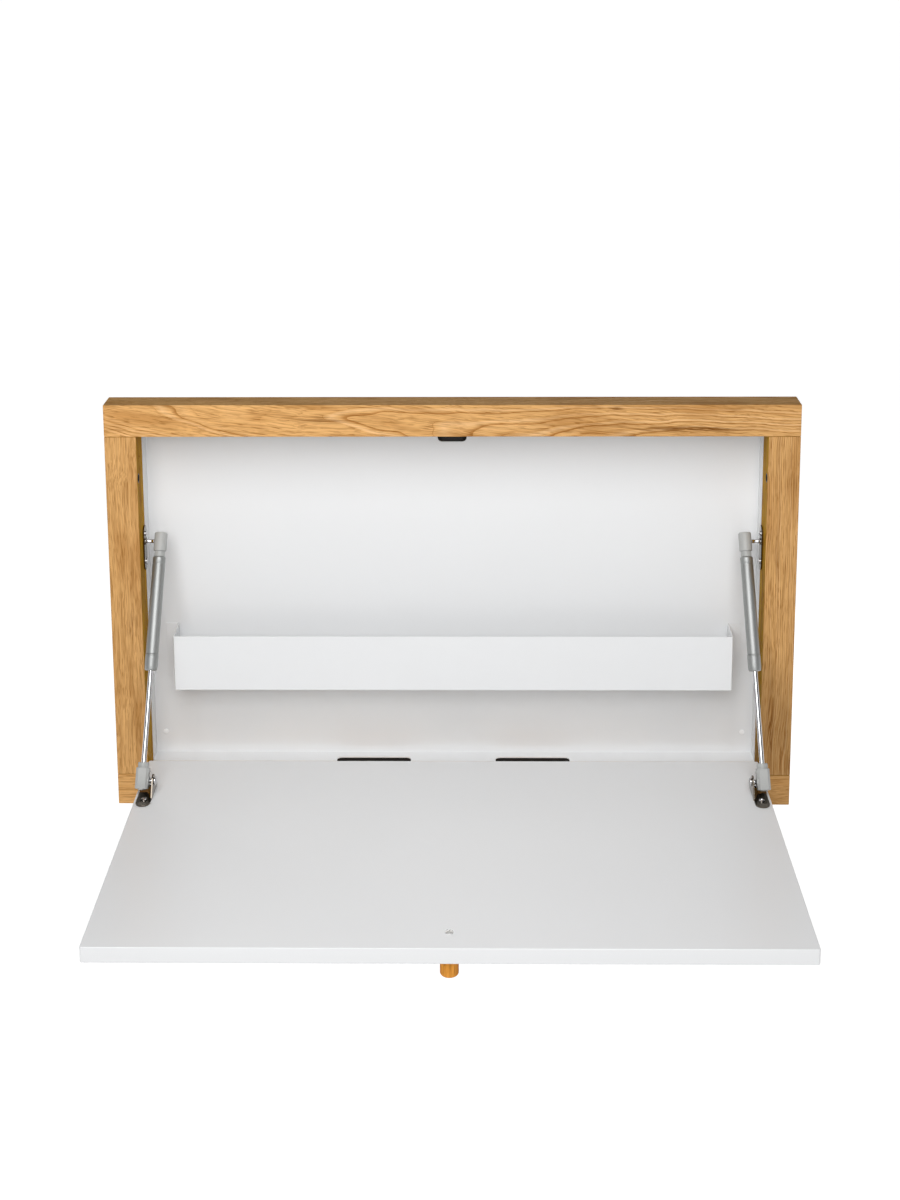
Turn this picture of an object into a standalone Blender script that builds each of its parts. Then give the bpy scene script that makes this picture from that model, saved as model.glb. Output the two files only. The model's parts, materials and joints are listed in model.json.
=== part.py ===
"""Wall-mounted secretary desk: an oak frame around a folded steel pan, closed by a
drop-front writing panel on butt hinges and held open by two gas struts.

Metres, +Z up, +X right, front towards -Y. The wall plane is y = 0 and the origin is
the centre of the pan's back face. The panel is modelled open, as a writing surface.
"""
import math

import bmesh
import bpy
from mathutils import Matrix, Vector

MM = 0.001
QUARTER_TURN = math.pi / 2

# Clearance between pieces that rest on, or fit into, each other.
SEAT_GAP = 0.3 * MM

# Oak frame: full-width rails above and below, stiles between them.
FRAME_WIDTH = 850 * MM
FRAME_HEIGHT = 523 * MM
FRAME_DEPTH = 40 * MM
STILE_WIDTH = 39 * MM
RAIL_HEIGHT = 40 * MM
OAK_EDGE_ROUND = 0.8 * MM
DOWEL_RADIUS = 4 * MM
DOWEL_LENGTH = 30 * MM

# Folded steel pan behind the oak, and what is cut in it.
PAN_DEPTH = 27 * MM
PAN_SHEET = 1.5 * MM
PAN_FLANGE = 14 * MM
PAN_BEND = 2 * MM
CABLE_SLOT_LENGTH = 95 * MM
CABLE_SLOT_WIDTH = 22 * MM
CABLE_SLOT_CORNER = 6 * MM
CABLE_SLOT_OFFSET = 102 * MM
CABLE_SLOT_TO_BACK = 15 * MM
HANG_SLOT_LENGTH = 36.5 * MM
HANG_SLOT_HEIGHT = 16 * MM
HANG_SLOT_CORNER = 5 * MM
HANG_SLOT_BELOW_RAIL = 9.4 * MM
CAP_RADIUS = 3.3 * MM
CAP_HEIGHT = 1 * MM
CAP_STEM_RADIUS = 1.9 * MM
CAP_FROM_SIDE = 13 * MM
CAP_ABOVE_SILL = 28 * MM

# Wall hook that the hanging slot drops onto.
HOOK_SHEET = 1.5 * MM
HOOK_LIP = 5 * MM
HOOK_SCREW_SPACING = 16 * MM
HOOK_SCREW_RADIUS = 2 * MM

# Pen tray: one folded sheet on the pan's back panel.
TRAY_HEIGHT = 72 * MM
TRAY_ABOVE_SILL = 105 * MM
TRAY_END_GAP = 34 * MM
TRAY_FLANGE = 16 * MM
TRAY_SHEET = 1.2 * MM
TRAY_BEND = 1.5 * MM
TRAY_UPSTAND = 15 * MM
TRAY_CORNER_RELIEF = 2.5 * MM
TRAY_TO_PANEL = 1.5 * MM

# Drop-front panel, inset in the opening when closed.
PANEL_THICKNESS = 18 * MM
PANEL_SIDE_GAP = 2 * MM
PANEL_TOP_GAP = 2.5 * MM
PANEL_CORNER = 2.5 * MM
PANEL_EDGE_ROUND = 1 * MM

# Butt hinges: the pin's axis is on the frame's front plane, halfway up the gap.
HINGE_GAP = 4 * MM
HINGE_LENGTH = 60 * MM
HINGE_FROM_SIDE = 96 * MM
KNUCKLE_RADIUS = 2.8 * MM
KNUCKLE_SHARE = 0.3
KNUCKLE_CLEARANCE = 0.45 * MM
HINGE_PIN_RADIUS = 1.2 * MM
LEAF_SHEET = 1.5 * MM
LEAF_WIDTH = 20 * MM
LEAF_CURL = 0.8 * MM
LEAF_SHORT_OF_FACE = 2 * MM

# Knob and its screw.
KNOB_RADIUS = 10 * MM
KNOB_LENGTH = 29 * MM
KNOB_ROUND = 3 * MM
KNOB_FROM_FREE_EDGE = 30.5 * MM
KNOB_SCREW_RADIUS = 2 * MM
KNOB_SCREW_HEAD_RADIUS = 4.5 * MM
KNOB_SCREW_HEAD_HEIGHT = 2.2 * MM
KNOB_SCREW_BITE = 15 * MM
KNOB_CROWN = 0.6 * MM

# Ball catches in the panel's side edges, and their strikes in the stiles.
CATCH_FROM_FREE_EDGE = 52.5 * MM
CATCH_BALL_RADIUS = 4 * MM
CATCH_PROJECTION = 1.6 * MM
CATCH_HOUSING_WALL = 1.2 * MM
CATCH_HOUSING_LENGTH = 14 * MM
CATCH_LIP = 0.8 * MM
STRIKE_RADIUS = 6 * MM
STRIKE_MOUTH_RADIUS = 4.6 * MM
STRIKE_LENGTH = 6 * MM
STRIKE_RECESS = 3.5 * MM

# Gas struts: places of the two ball joints, from the opening's side, the sill,
# the frame's front plane and the hinge axis.
UPPER_BALL_FROM_SIDE = 20.7 * MM
UPPER_BALL_BEHIND_FRONT = 31 * MM
UPPER_BALL_ABOVE_SILL = 299 * MM
LOWER_BALL_FROM_SIDE = 9.4 * MM
LOWER_BALL_FROM_HINGE = 91.5 * MM
LOWER_BALL_ABOVE_PANEL = 16 * MM
ROD_RADIUS = 3 * MM
ROD_TIP_RADIUS = 2 * MM
TUBE_RADIUS = 7.75 * MM
TUBE_WALL = 1.25 * MM
TUBE_END = 4 * MM
TUBE_PIN_RADIUS = 2.5 * MM
TUBE_PIN_LENGTH = 6 * MM
SLEEVE_RADIUS = 8.1 * MM
SLEEVE_LENGTH = 20 * MM
SLEEVE_SPIGOT = 8 * MM
STRUT_BODY_LENGTH = 139.5 * MM
PISTON_LENGTH = 8 * MM
PISTON_ABOVE_SPIGOT = 1.5 * MM
SOCKET_HALF_WIDTH = 7.8 * MM
SOCKET_FOOT = 10.5 * MM
SOCKET_CORNER = 3 * MM
SOCKET_EDGE_ROUND = 0.6 * MM
SOCKET_MOUTH_RADIUS = 4.2 * MM
LOWER_SOCKET_TOP = 15.7 * MM
LOWER_COLLAR_TOP = 22 * MM
LOWER_COLLAR_RADIUS = 6.6 * MM
UPPER_SOCKET_RADIUS = 8 * MM
UPPER_SOCKET_HEAD = 11 * MM
UPPER_SOCKET_SKIRT = 12.3 * MM
UPPER_NECK_END = 19.4 * MM
UPPER_NECK_RADIUS = 6.3 * MM
UPPER_FLAT_FROM_AXIS = 7.6 * MM
SOCKET_ROUND = 1.5 * MM
BALL_RADIUS = 4 * MM
STUD_RADIUS = 2.6 * MM
STUD_HEAD_RADIUS = 5 * MM
STUD_HEAD_HEIGHT = 1.8 * MM
NUT_HEIGHT = 3.2 * MM
STUD_COLLAR_RADIUS = 3.6 * MM
STUD_NECK_RADIUS = 2.1 * MM
OPEN_PIVOT_GAP = 0.5 * MM

# Strut brackets, with two screws each.
BRACKET_SHEET = 1.7 * MM
UPPER_PLATE_WIDTH = 18 * MM
UPPER_PLATE_ABOVE_BALL = 21 * MM
UPPER_PLATE_BELOW_BALL = 37 * MM
UPPER_SCREW_FROM_END = 11 * MM
LOWER_BASE_WIDTH = 17.5 * MM
LOWER_BASE_AHEAD = 37 * MM
LOWER_BASE_BEHIND = 26 * MM
LOWER_TAB_AHEAD = 18.5 * MM
LOWER_TAB_BEHIND = 17 * MM
LOWER_TAB_TOP_RADIUS = 8 * MM
LOWER_TAB_FROM_BALL = 14 * MM
LOWER_SCREW_AHEAD = 21.5 * MM
LOWER_SCREW_BEHIND = 18.5 * MM
SCREW_RADIUS = 1.7 * MM
SCREW_LENGTH = 12 * MM
SCREW_POINT = 3 * MM
SCREW_HEAD_RADIUS = 3.6 * MM
SCREW_HEAD_HEIGHT = 1.8 * MM

# Facets round a turn.
STRUT_FACETS = 24
FITTING_FACETS = 16
SCREW_FACETS = 12
BALL_ARC_STEPS = 6

# Places that follow from the sizes above.
OPENING_HALF = FRAME_WIDTH / 2 - STILE_WIDTH
OPENING_HEIGHT = FRAME_HEIGHT - 2 * RAIL_HEIGHT
SILL = -OPENING_HEIGHT / 2
HEAD = OPENING_HEIGHT / 2
FRONT = -(FRAME_DEPTH + SEAT_GAP + PAN_DEPTH + PAN_SHEET)
OAK_REAR = FRONT + FRAME_DEPTH
PAN_BACK = -PAN_SHEET
PANEL_HALF = OPENING_HALF - PANEL_SIDE_GAP
PANEL_LENGTH = OPENING_HEIGHT - HINGE_GAP - PANEL_TOP_GAP
HINGE_AXIS = Vector((0, FRONT, SILL + HINGE_GAP / 2))
PANEL_REAR = FRONT - HINGE_GAP / 2
PANEL_FREE_EDGE = PANEL_REAR - PANEL_LENGTH
PANEL_UNDERSIDE = HINGE_AXIS.z
PANEL_TOP = PANEL_UNDERSIDE + PANEL_THICKNESS
CATCH_Y = PANEL_FREE_EDGE + CATCH_FROM_FREE_EDGE
CATCH_Z = PANEL_UNDERSIDE + PANEL_THICKNESS / 2
SIDES = (("left", -1), ("right", 1))

# Directions in which a turned piece's own +Z can point.
AIM = {
    "+x": (0, QUARTER_TURN, 0),
    "-x": (0, -QUARTER_TURN, 0),
    "+y": (-QUARTER_TURN, 0, 0),
    "-y": (QUARTER_TURN, 0, 0),
    "+z": (0, 0, 0),
    "-z": (math.pi, 0, 0),
}


def new_material(name, colour, roughness, metallic=0.0):
    """A plain Principled finish."""
    made = bpy.data.materials.new(name)
    made.use_nodes = True
    shader = made.node_tree.nodes["Principled BSDF"]
    shader.inputs["Base Color"].default_value = (*colour, 1.0)
    shader.inputs["Roughness"].default_value = roughness
    shader.inputs["Metallic"].default_value = metallic
    made.diffuse_color = (*colour, 1.0)
    return made


def new_object(name, bm, finish=None, at=(0, 0, 0), turn=(0, 0, 0), parent=None):
    """Turn a bmesh into a placed object. With a parent, at and turn are in its frame."""
    bmesh.ops.recalc_face_normals(bm, faces=bm.faces)
    mesh = bpy.data.meshes.new(name)
    bm.to_mesh(mesh)
    bm.free()
    obj = bpy.data.objects.new(name, mesh)
    bpy.context.scene.collection.objects.link(obj)
    obj.parent = parent
    obj.location = at
    obj.rotation_euler = turn
    if finish is not None:
        mesh.materials.append(finish)
    return obj


def smooth(obj):
    """Shade a round piece smooth, keeping its hard edges."""
    obj.data.shade_smooth()
    obj.data.set_sharp_from_angle(angle=math.radians(35))
    return obj


def new_pivot(name, at, parent=None, turn=None):
    """An empty on a joint's axis."""
    pivot = bpy.data.objects.new(name, None)
    bpy.context.scene.collection.objects.link(pivot)
    pivot.parent = parent
    pivot.location = at
    if turn is not None:
        pivot.rotation_euler = turn
    pivot.empty_display_size = 0.02
    return pivot


def from_hinge(point):
    """A point of the open desk, in the frame of the panel's hinge pivot."""
    return Vector(point) - HINGE_AXIS


def block_mesh(size, edge_round=0.0, rounded_axis=None, corner=0.0, steps=2):
    """A centred box. Edges along rounded_axis may take a corner radius of their own."""
    bm = bmesh.new()
    bmesh.ops.create_cube(bm, size=1.0)
    bmesh.ops.scale(bm, vec=size, verts=bm.verts)
    if corner > 0:
        along = [e for e in bm.edges if abs((e.verts[0].co - e.verts[1].co)[rounded_axis]) > MM]
        bmesh.ops.bevel(bm, geom=along, offset=corner, segments=3, profile=0.5,
                        affect="EDGES", material=-1)
    if edge_round > 0:
        sharp = [e for e in bm.edges if e.calc_face_angle(0) > math.radians(50)]
        bmesh.ops.bevel(bm, geom=sharp, offset=edge_round, segments=steps, profile=0.5,
                        affect="EDGES", material=-1)
    return bm


def span(low, high):
    """Centre and size of the box between two corners."""
    low = Vector(low)
    high = Vector(high)
    return (low + high) / 2, high - low


def turned_mesh(profile, facets):
    """Spin a profile of (radius, height) points round Z."""
    bm = bmesh.new()
    verts = [bm.verts.new((radius, 0, height)) for radius, height in profile]
    edges = [bm.edges.new(pair) for pair in zip(verts, verts[1:])]
    if profile[0][0] > 0:
        edges.append(bm.edges.new((verts[-1], verts[0])))
    bmesh.ops.spin(bm, geom=verts + edges, cent=(0, 0, 0), axis=(0, 0, 1),
                   angle=2 * math.pi, steps=facets, use_merge=True)
    bmesh.ops.remove_doubles(bm, verts=bm.verts, dist=1e-6)
    return bm


def turned(name, profile, finish, at, aim, parent=None, facets=FITTING_FACETS):
    """A turned piece whose own +Z points along aim."""
    return smooth(new_object(name, turned_mesh(profile, facets), finish, at, AIM[aim], parent))


def plate_mesh(outline, thickness):
    """Extrude a flat (x, y) outline from z = 0 up to thickness."""
    bm = bmesh.new()
    face = bm.faces.new([bm.verts.new((x, y, 0)) for x, y in outline])
    grown = bmesh.ops.extrude_face_region(bm, geom=[face])
    raised = [item for item in grown["geom"] if isinstance(item, bmesh.types.BMVert)]
    bmesh.ops.translate(bm, vec=(0, 0, thickness), verts=raised)
    return bm


def arc(centre, radius, start, end, steps):
    """Points on an arc in the plane, angles in degrees."""
    angles = [math.radians(start + (end - start) * i / steps) for i in range(steps + 1)]
    return [(centre[0] + radius * math.cos(a), centre[1] + radius * math.sin(a)) for a in angles]


def as_tool(obj):
    """Mark a cutter or an added shape, which isn't a piece of the desk."""
    obj.hide_render = True
    obj.display_type = "WIRE"
    return obj


def apply_tool(target, tool, operation="DIFFERENCE"):
    """Cut a piece with a tool, or join the tool's shape to it."""
    step = target.modifiers.new(tool.name, "BOOLEAN")
    step.operation = operation
    step.solver = "EXACT"
    step.object = tool


def drill(target, name, at, aim, radius, depth, facets=FITTING_FACETS):
    """Drill a hole that starts just outside at and runs depth along aim."""
    lead = 1 * MM
    profile = [(0, -lead), (radius, -lead), (radius, depth), (0, depth)]
    tool = new_object(name + "_drill", turned_mesh(profile, facets), None, at, AIM[aim])
    apply_tool(target, as_tool(tool))


def block_cut(targets, name, low, high, rounded_axis=None, corner=0.0):
    """Cut a box-shaped recess in each target."""
    centre, size = span(low, high)
    bm = block_mesh(size, rounded_axis=rounded_axis, corner=corner)
    tool = as_tool(new_object(name + "_cutter", bm, None, centre))
    for target in targets:
        apply_tool(target, tool)


def hinge_stations():
    """Name and x of each butt hinge."""
    reach = OPENING_HALF - HINGE_FROM_SIDE
    return (("left", -reach), ("centre", 0.0), ("right", reach))


def bracket_screw_profile():
    """Pan-head wood screw, head up, its seat at height 0."""
    return [
        (0, -SCREW_LENGTH),
        (SCREW_RADIUS, -SCREW_LENGTH + SCREW_POINT),
        (SCREW_RADIUS, 0),
        (SCREW_HEAD_RADIUS, 0),
        (SCREW_HEAD_RADIUS, SCREW_HEAD_HEIGHT * 0.45),
        (SCREW_HEAD_RADIUS * 0.7, SCREW_HEAD_HEIGHT * 0.88),
        (0, SCREW_HEAD_HEIGHT),
    ]


def screw_hole(target, name, at, aim, depth):
    """Clearance hole for a bracket screw."""
    drill(target, name, at, aim, SCREW_RADIUS + SEAT_GAP, depth, SCREW_FACETS)


def oak_frame(oak, beech):
    """Two rails, two stiles and a dowel in each corner."""
    half = FRAME_WIDTH / 2
    pieces = {}
    for name, low, high in (("top", HEAD, HEAD + RAIL_HEIGHT), ("bottom", SILL - RAIL_HEIGHT, SILL)):
        centre, size = span((-half, FRONT, low), (half, OAK_REAR, high))
        bm = block_mesh(size, OAK_EDGE_ROUND)
        pieces[name] = new_object(f"frame_{name}_rail", bm, oak, centre)
    for name, side in SIDES:
        inner, outer = sorted((side * OPENING_HALF, side * half))
        centre, size = span((inner, FRONT, SILL + SEAT_GAP), (outer, OAK_REAR, HEAD - SEAT_GAP))
        pieces[name] = new_object(f"frame_{name}_stile", block_mesh(size, OAK_EDGE_ROUND), oak, centre)
        for level, joint_z, rail in (("top", HEAD, pieces["top"]), ("bottom", SILL, pieces["bottom"])):
            place = (side * (half - STILE_WIDTH / 2), FRONT + FRAME_DEPTH / 2, joint_z)
            dowel_joint(f"{level}_{name}_dowel", place, beech, (rail, pieces[name]))
    return pieces


def dowel_joint(name, place, beech, held):
    """A dowel half in the rail and half in the stile, with its bore in both."""
    half = DOWEL_LENGTH / 2
    chamfer = 1 * MM
    profile = [
        (0, -half),
        (DOWEL_RADIUS - chamfer, -half),
        (DOWEL_RADIUS, -half + chamfer),
        (DOWEL_RADIUS, half - chamfer),
        (DOWEL_RADIUS - chamfer, half),
        (0, half),
    ]
    turned(name, profile, beech, place, "+z")
    bore = half + SEAT_GAP
    bore_profile = [
        (0, -bore),
        (DOWEL_RADIUS + SEAT_GAP, -bore),
        (DOWEL_RADIUS + SEAT_GAP, bore),
        (0, bore),
    ]
    tool = new_object(name + "_drill", turned_mesh(bore_profile, FITTING_FACETS), None, place)
    as_tool(tool)
    for piece in held:
        apply_tool(piece, tool)


def back_pan(white):
    """Back panel, four walls and a flange behind the oak, folded from one sheet."""
    bm = bmesh.new()
    flange_y = OAK_REAR + SEAT_GAP
    rings = []
    for half_x, half_z, y in (
        (OPENING_HALF, HEAD, PAN_BACK),
        (OPENING_HALF, HEAD, flange_y),
        (OPENING_HALF + PAN_FLANGE, HEAD + PAN_FLANGE, flange_y),
    ):
        corners = ((-half_x, -half_z), (half_x, -half_z), (half_x, half_z), (-half_x, half_z))
        rings.append([bm.verts.new((x, y, z)) for x, z in corners])
    bm.faces.new(rings[0])
    for ring, following in zip(rings, rings[1:]):
        for i in range(4):
            j = (i + 1) % 4
            bm.faces.new((ring[i], following[i], following[j], ring[j]))
    bmesh.ops.recalc_face_normals(bm, faces=bm.faces)
    if bm.faces[0].normal.y > 0:
        bmesh.ops.reverse_faces(bm, faces=bm.faces)
    folds = [e for e in bm.edges if e.calc_face_angle(0) > math.radians(50)]
    bmesh.ops.bevel(bm, geom=folds, offset=PAN_BEND, segments=2, profile=0.5,
                    affect="EDGES", material=-1)
    return folded_sheet("back_pan", bm, white, PAN_SHEET)


def folded_sheet(name, bm, finish, thickness):
    """Give a folded skin its thickness, on the side away from its normals."""
    mesh = bpy.data.meshes.new(name)
    bm.to_mesh(mesh)
    bm.free()
    mesh.materials.append(finish)
    obj = bpy.data.objects.new(name, mesh)
    bpy.context.scene.collection.objects.link(obj)
    wall = obj.modifiers.new("sheet", "SOLIDIFY")
    wall.thickness = thickness
    wall.offset = -1
    wall.use_even_offset = True
    return obj


def cable_slots(pan, bottom_rail):
    """Two slots in the pan's floor that run on down a notch in the rail."""
    rear = PAN_BACK - CABLE_SLOT_TO_BACK
    below = 5 * MM
    for name, side in SIDES:
        middle = side * CABLE_SLOT_OFFSET
        low = (middle - CABLE_SLOT_LENGTH / 2, rear - CABLE_SLOT_WIDTH, SILL - RAIL_HEIGHT - below)
        high = (middle + CABLE_SLOT_LENGTH / 2, rear, SILL + PAN_BEND)
        block_cut((pan, bottom_rail), f"{name}_cable_slot", low, high, 2, CABLE_SLOT_CORNER)


def wall_hook(pan, black):
    """Hanging slot in the back panel, and the hook on the wall that fills it."""
    slot_top = HEAD - HANG_SLOT_BELOW_RAIL
    slot_foot = slot_top - HANG_SLOT_HEIGHT
    half = HANG_SLOT_LENGTH / 2
    through = 3 * MM
    block_cut((pan,), "hang_slot", (-half, PAN_BACK - through, slot_foot),
              (half, through, slot_top), 1, HANG_SLOT_CORNER)
    hook_length = HANG_SLOT_LENGTH - 2 * (HANG_SLOT_CORNER + SEAT_GAP)
    step_top = slot_top - SEAT_GAP
    foot = slot_foot + 1 * MM
    lip_rear = PAN_BACK - SEAT_GAP
    outline = [
        (0, foot),
        (0, step_top),
        (lip_rear, step_top),
        (lip_rear, slot_top + HOOK_LIP),
        (lip_rear - HOOK_SHEET, slot_top + HOOK_LIP),
        (lip_rear - HOOK_SHEET, step_top - HOOK_SHEET),
        (-HOOK_SHEET, step_top - HOOK_SHEET),
        (-HOOK_SHEET, foot),
    ]
    bm = plate_mesh(outline, hook_length)
    stand_up = Matrix(((0, 0, 1, -hook_length / 2), (1, 0, 0, 0), (0, 1, 0, 0), (0, 0, 0, 1)))
    bmesh.ops.transform(bm, matrix=stand_up, verts=bm.verts)
    hook = new_object("wall_hook", bm, black)
    screw_z = (foot + step_top - HOOK_SHEET) / 2
    for name, side in SIDES:
        place = (side * HOOK_SCREW_SPACING / 2, -HOOK_SHEET, screw_z)
        drill(hook, f"hook_{name}_hole", place, "+y", HOOK_SCREW_RADIUS, HOOK_SHEET + MM)


def screw_caps(pan, plastic):
    """Caps over the two lower wall screws, each plugged into the back panel."""
    crown = SEAT_GAP + CAP_HEIGHT
    profile = [
        (0, -PAN_SHEET),
        (CAP_STEM_RADIUS, -PAN_SHEET),
        (CAP_STEM_RADIUS, SEAT_GAP),
        (CAP_RADIUS, SEAT_GAP),
        (CAP_RADIUS, crown - CAP_HEIGHT / 2),
        (CAP_RADIUS * 0.75, crown),
        (0, crown),
    ]
    for name, side in SIDES:
        place = (side * (OPENING_HALF - CAP_FROM_SIDE), PAN_BACK, SILL + CAP_ABOVE_SILL)
        turned(f"{name}_screw_cap", profile, plastic, place, "-y")
        drill(pan, f"{name}_cap_hole", place, "+y", CAP_STEM_RADIUS + SEAT_GAP, PAN_SHEET + MM)


def pen_tray(white):
    """Tray folded from one sheet: floor, front, ends, end flanges and a rear upstand."""
    end = OPENING_HALF - TRAY_END_GAP
    front = FRONT + PANEL_THICKNESS + TRAY_TO_PANEL
    back = PAN_BACK - SEAT_GAP
    flange = back - TRAY_SHEET
    foot = SILL + TRAY_ABOVE_SILL
    top = foot + TRAY_HEIGHT
    bm = bmesh.new()

    def vert(x, y, z):
        return bm.verts.new((x, y, z))

    low, high, turn_low, turn_high, relief = {}, {}, {}, {}, {}
    for side in (-1, 1):
        low[side] = vert(side * end, front, foot)
        high[side] = vert(side * end, front, top)
        turn_low[side] = vert(side * end, flange, foot)
        turn_high[side] = vert(side * end, flange, top)
        relief[side] = vert(side * (end - TRAY_CORNER_RELIEF), back, foot)
        tip_high = vert(side * (end + TRAY_FLANGE), flange, top)
        tip_low = vert(side * (end + TRAY_FLANGE), flange, foot)
        bm.faces.new((low[side], high[side], turn_high[side], turn_low[side]))
        bm.faces.new((turn_low[side], turn_high[side], tip_high, tip_low))
    bm.faces.new((low[-1], low[1], high[1], high[-1]))
    bm.faces.new((low[-1], turn_low[-1], relief[-1], relief[1], turn_low[1], low[1]))
    crest = [vert(side * (end - TRAY_CORNER_RELIEF), back, foot + TRAY_UPSTAND) for side in (1, -1)]
    bm.faces.new((relief[-1], relief[1], *crest))
    bmesh.ops.recalc_face_normals(bm, faces=bm.faces)
    bm.faces.ensure_lookup_table()
    face = next(f for f in bm.faces if f.calc_center_median().y < front + MM)
    if face.normal.y > 0:
        bmesh.ops.reverse_faces(bm, faces=bm.faces)
    folds = [e for e in bm.edges if e.calc_face_angle(0) > math.radians(50)]
    bmesh.ops.bevel(bm, geom=folds, offset=TRAY_BEND, segments=2, profile=0.5,
                    affect="EDGES", material=-1)
    return folded_sheet("pen_tray", bm, white, TRAY_SHEET)


def upper_bracket(name, side, stile, chrome):
    """Plate on the stile's inner wall, its ball stud and its two screws."""
    wall = side * OPENING_HALF
    inward = "-x" if side > 0 else "+x"
    outward = "+x" if side > 0 else "-x"
    ball = upper_ball(side)
    half = UPPER_PLATE_WIDTH / 2
    high = UPPER_PLATE_ABOVE_BALL - half
    low = UPPER_PLATE_BELOW_BALL - half
    outline = arc((0, high), half, 0, 180, 8) + arc((0, -low), half, 180, 360, 8)
    bm = plate_mesh(outline, BRACKET_SHEET)
    place = (wall - side * SEAT_GAP, ball.y, ball.z)
    upright = Matrix(((0, 0, -side, 0), (-side, 0, 0, 0), (0, 1, 0, 0), (0, 0, 0, 1)))
    bmesh.ops.transform(bm, matrix=upright, verts=bm.verts)
    plate = new_object(f"{name}_upper_bracket", bm, chrome, place)
    face = place[0] - side * BRACKET_SHEET
    drill(plate, f"{name}_upper_stud_hole", (face, ball.y, ball.z), outward,
          STUD_RADIUS + SEAT_GAP, BRACKET_SHEET + MM)

    stud_end = UPPER_BALL_FROM_SIDE - UPPER_FLAT_FROM_AXIS - OPEN_PIVOT_GAP
    flange_foot = SEAT_GAP * 2 + BRACKET_SHEET
    profile = [
        (0, SEAT_GAP),
        (STUD_RADIUS, SEAT_GAP),
        (STUD_RADIUS, flange_foot),
        (STUD_HEAD_RADIUS, flange_foot),
        (STUD_HEAD_RADIUS, flange_foot + STUD_HEAD_HEIGHT / 2),
        (STUD_RADIUS, flange_foot + STUD_HEAD_HEIGHT),
        (STUD_RADIUS, stud_end),
        (0, stud_end),
    ]
    turned(f"{name}_upper_stud", profile, chrome, (wall, ball.y, ball.z), inward)

    for label, lift in (
        ("top", UPPER_PLATE_ABOVE_BALL - UPPER_SCREW_FROM_END),
        ("low", UPPER_SCREW_FROM_END - UPPER_PLATE_BELOW_BALL),
    ):
        seat = (face - side * SEAT_GAP, ball.y, ball.z + lift)
        turned(f"{name}_upper_screw_{label}", bracket_screw_profile(), chrome, seat, inward,
               facets=SCREW_FACETS)
        hole = f"{name}_upper_{label}_hole"
        screw_hole(plate, hole, seat, outward, BRACKET_SHEET + 2 * MM)
        screw_hole(stile, hole, seat, outward, SCREW_LENGTH + SEAT_GAP)


def lower_ball(side):
    """Centre of a strut's lower ball with the panel open."""
    return Vector((
        side * (OPENING_HALF - LOWER_BALL_FROM_SIDE),
        FRONT - LOWER_BALL_FROM_HINGE,
        PANEL_TOP + LOWER_BALL_ABOVE_PANEL,
    ))


def upper_ball(side):
    """Centre of a strut's upper ball."""
    return Vector((
        side * (OPENING_HALF - UPPER_BALL_FROM_SIDE),
        FRONT + UPPER_BALL_BEHIND_FRONT,
        SILL + UPPER_BALL_ABOVE_SILL,
    ))


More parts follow.
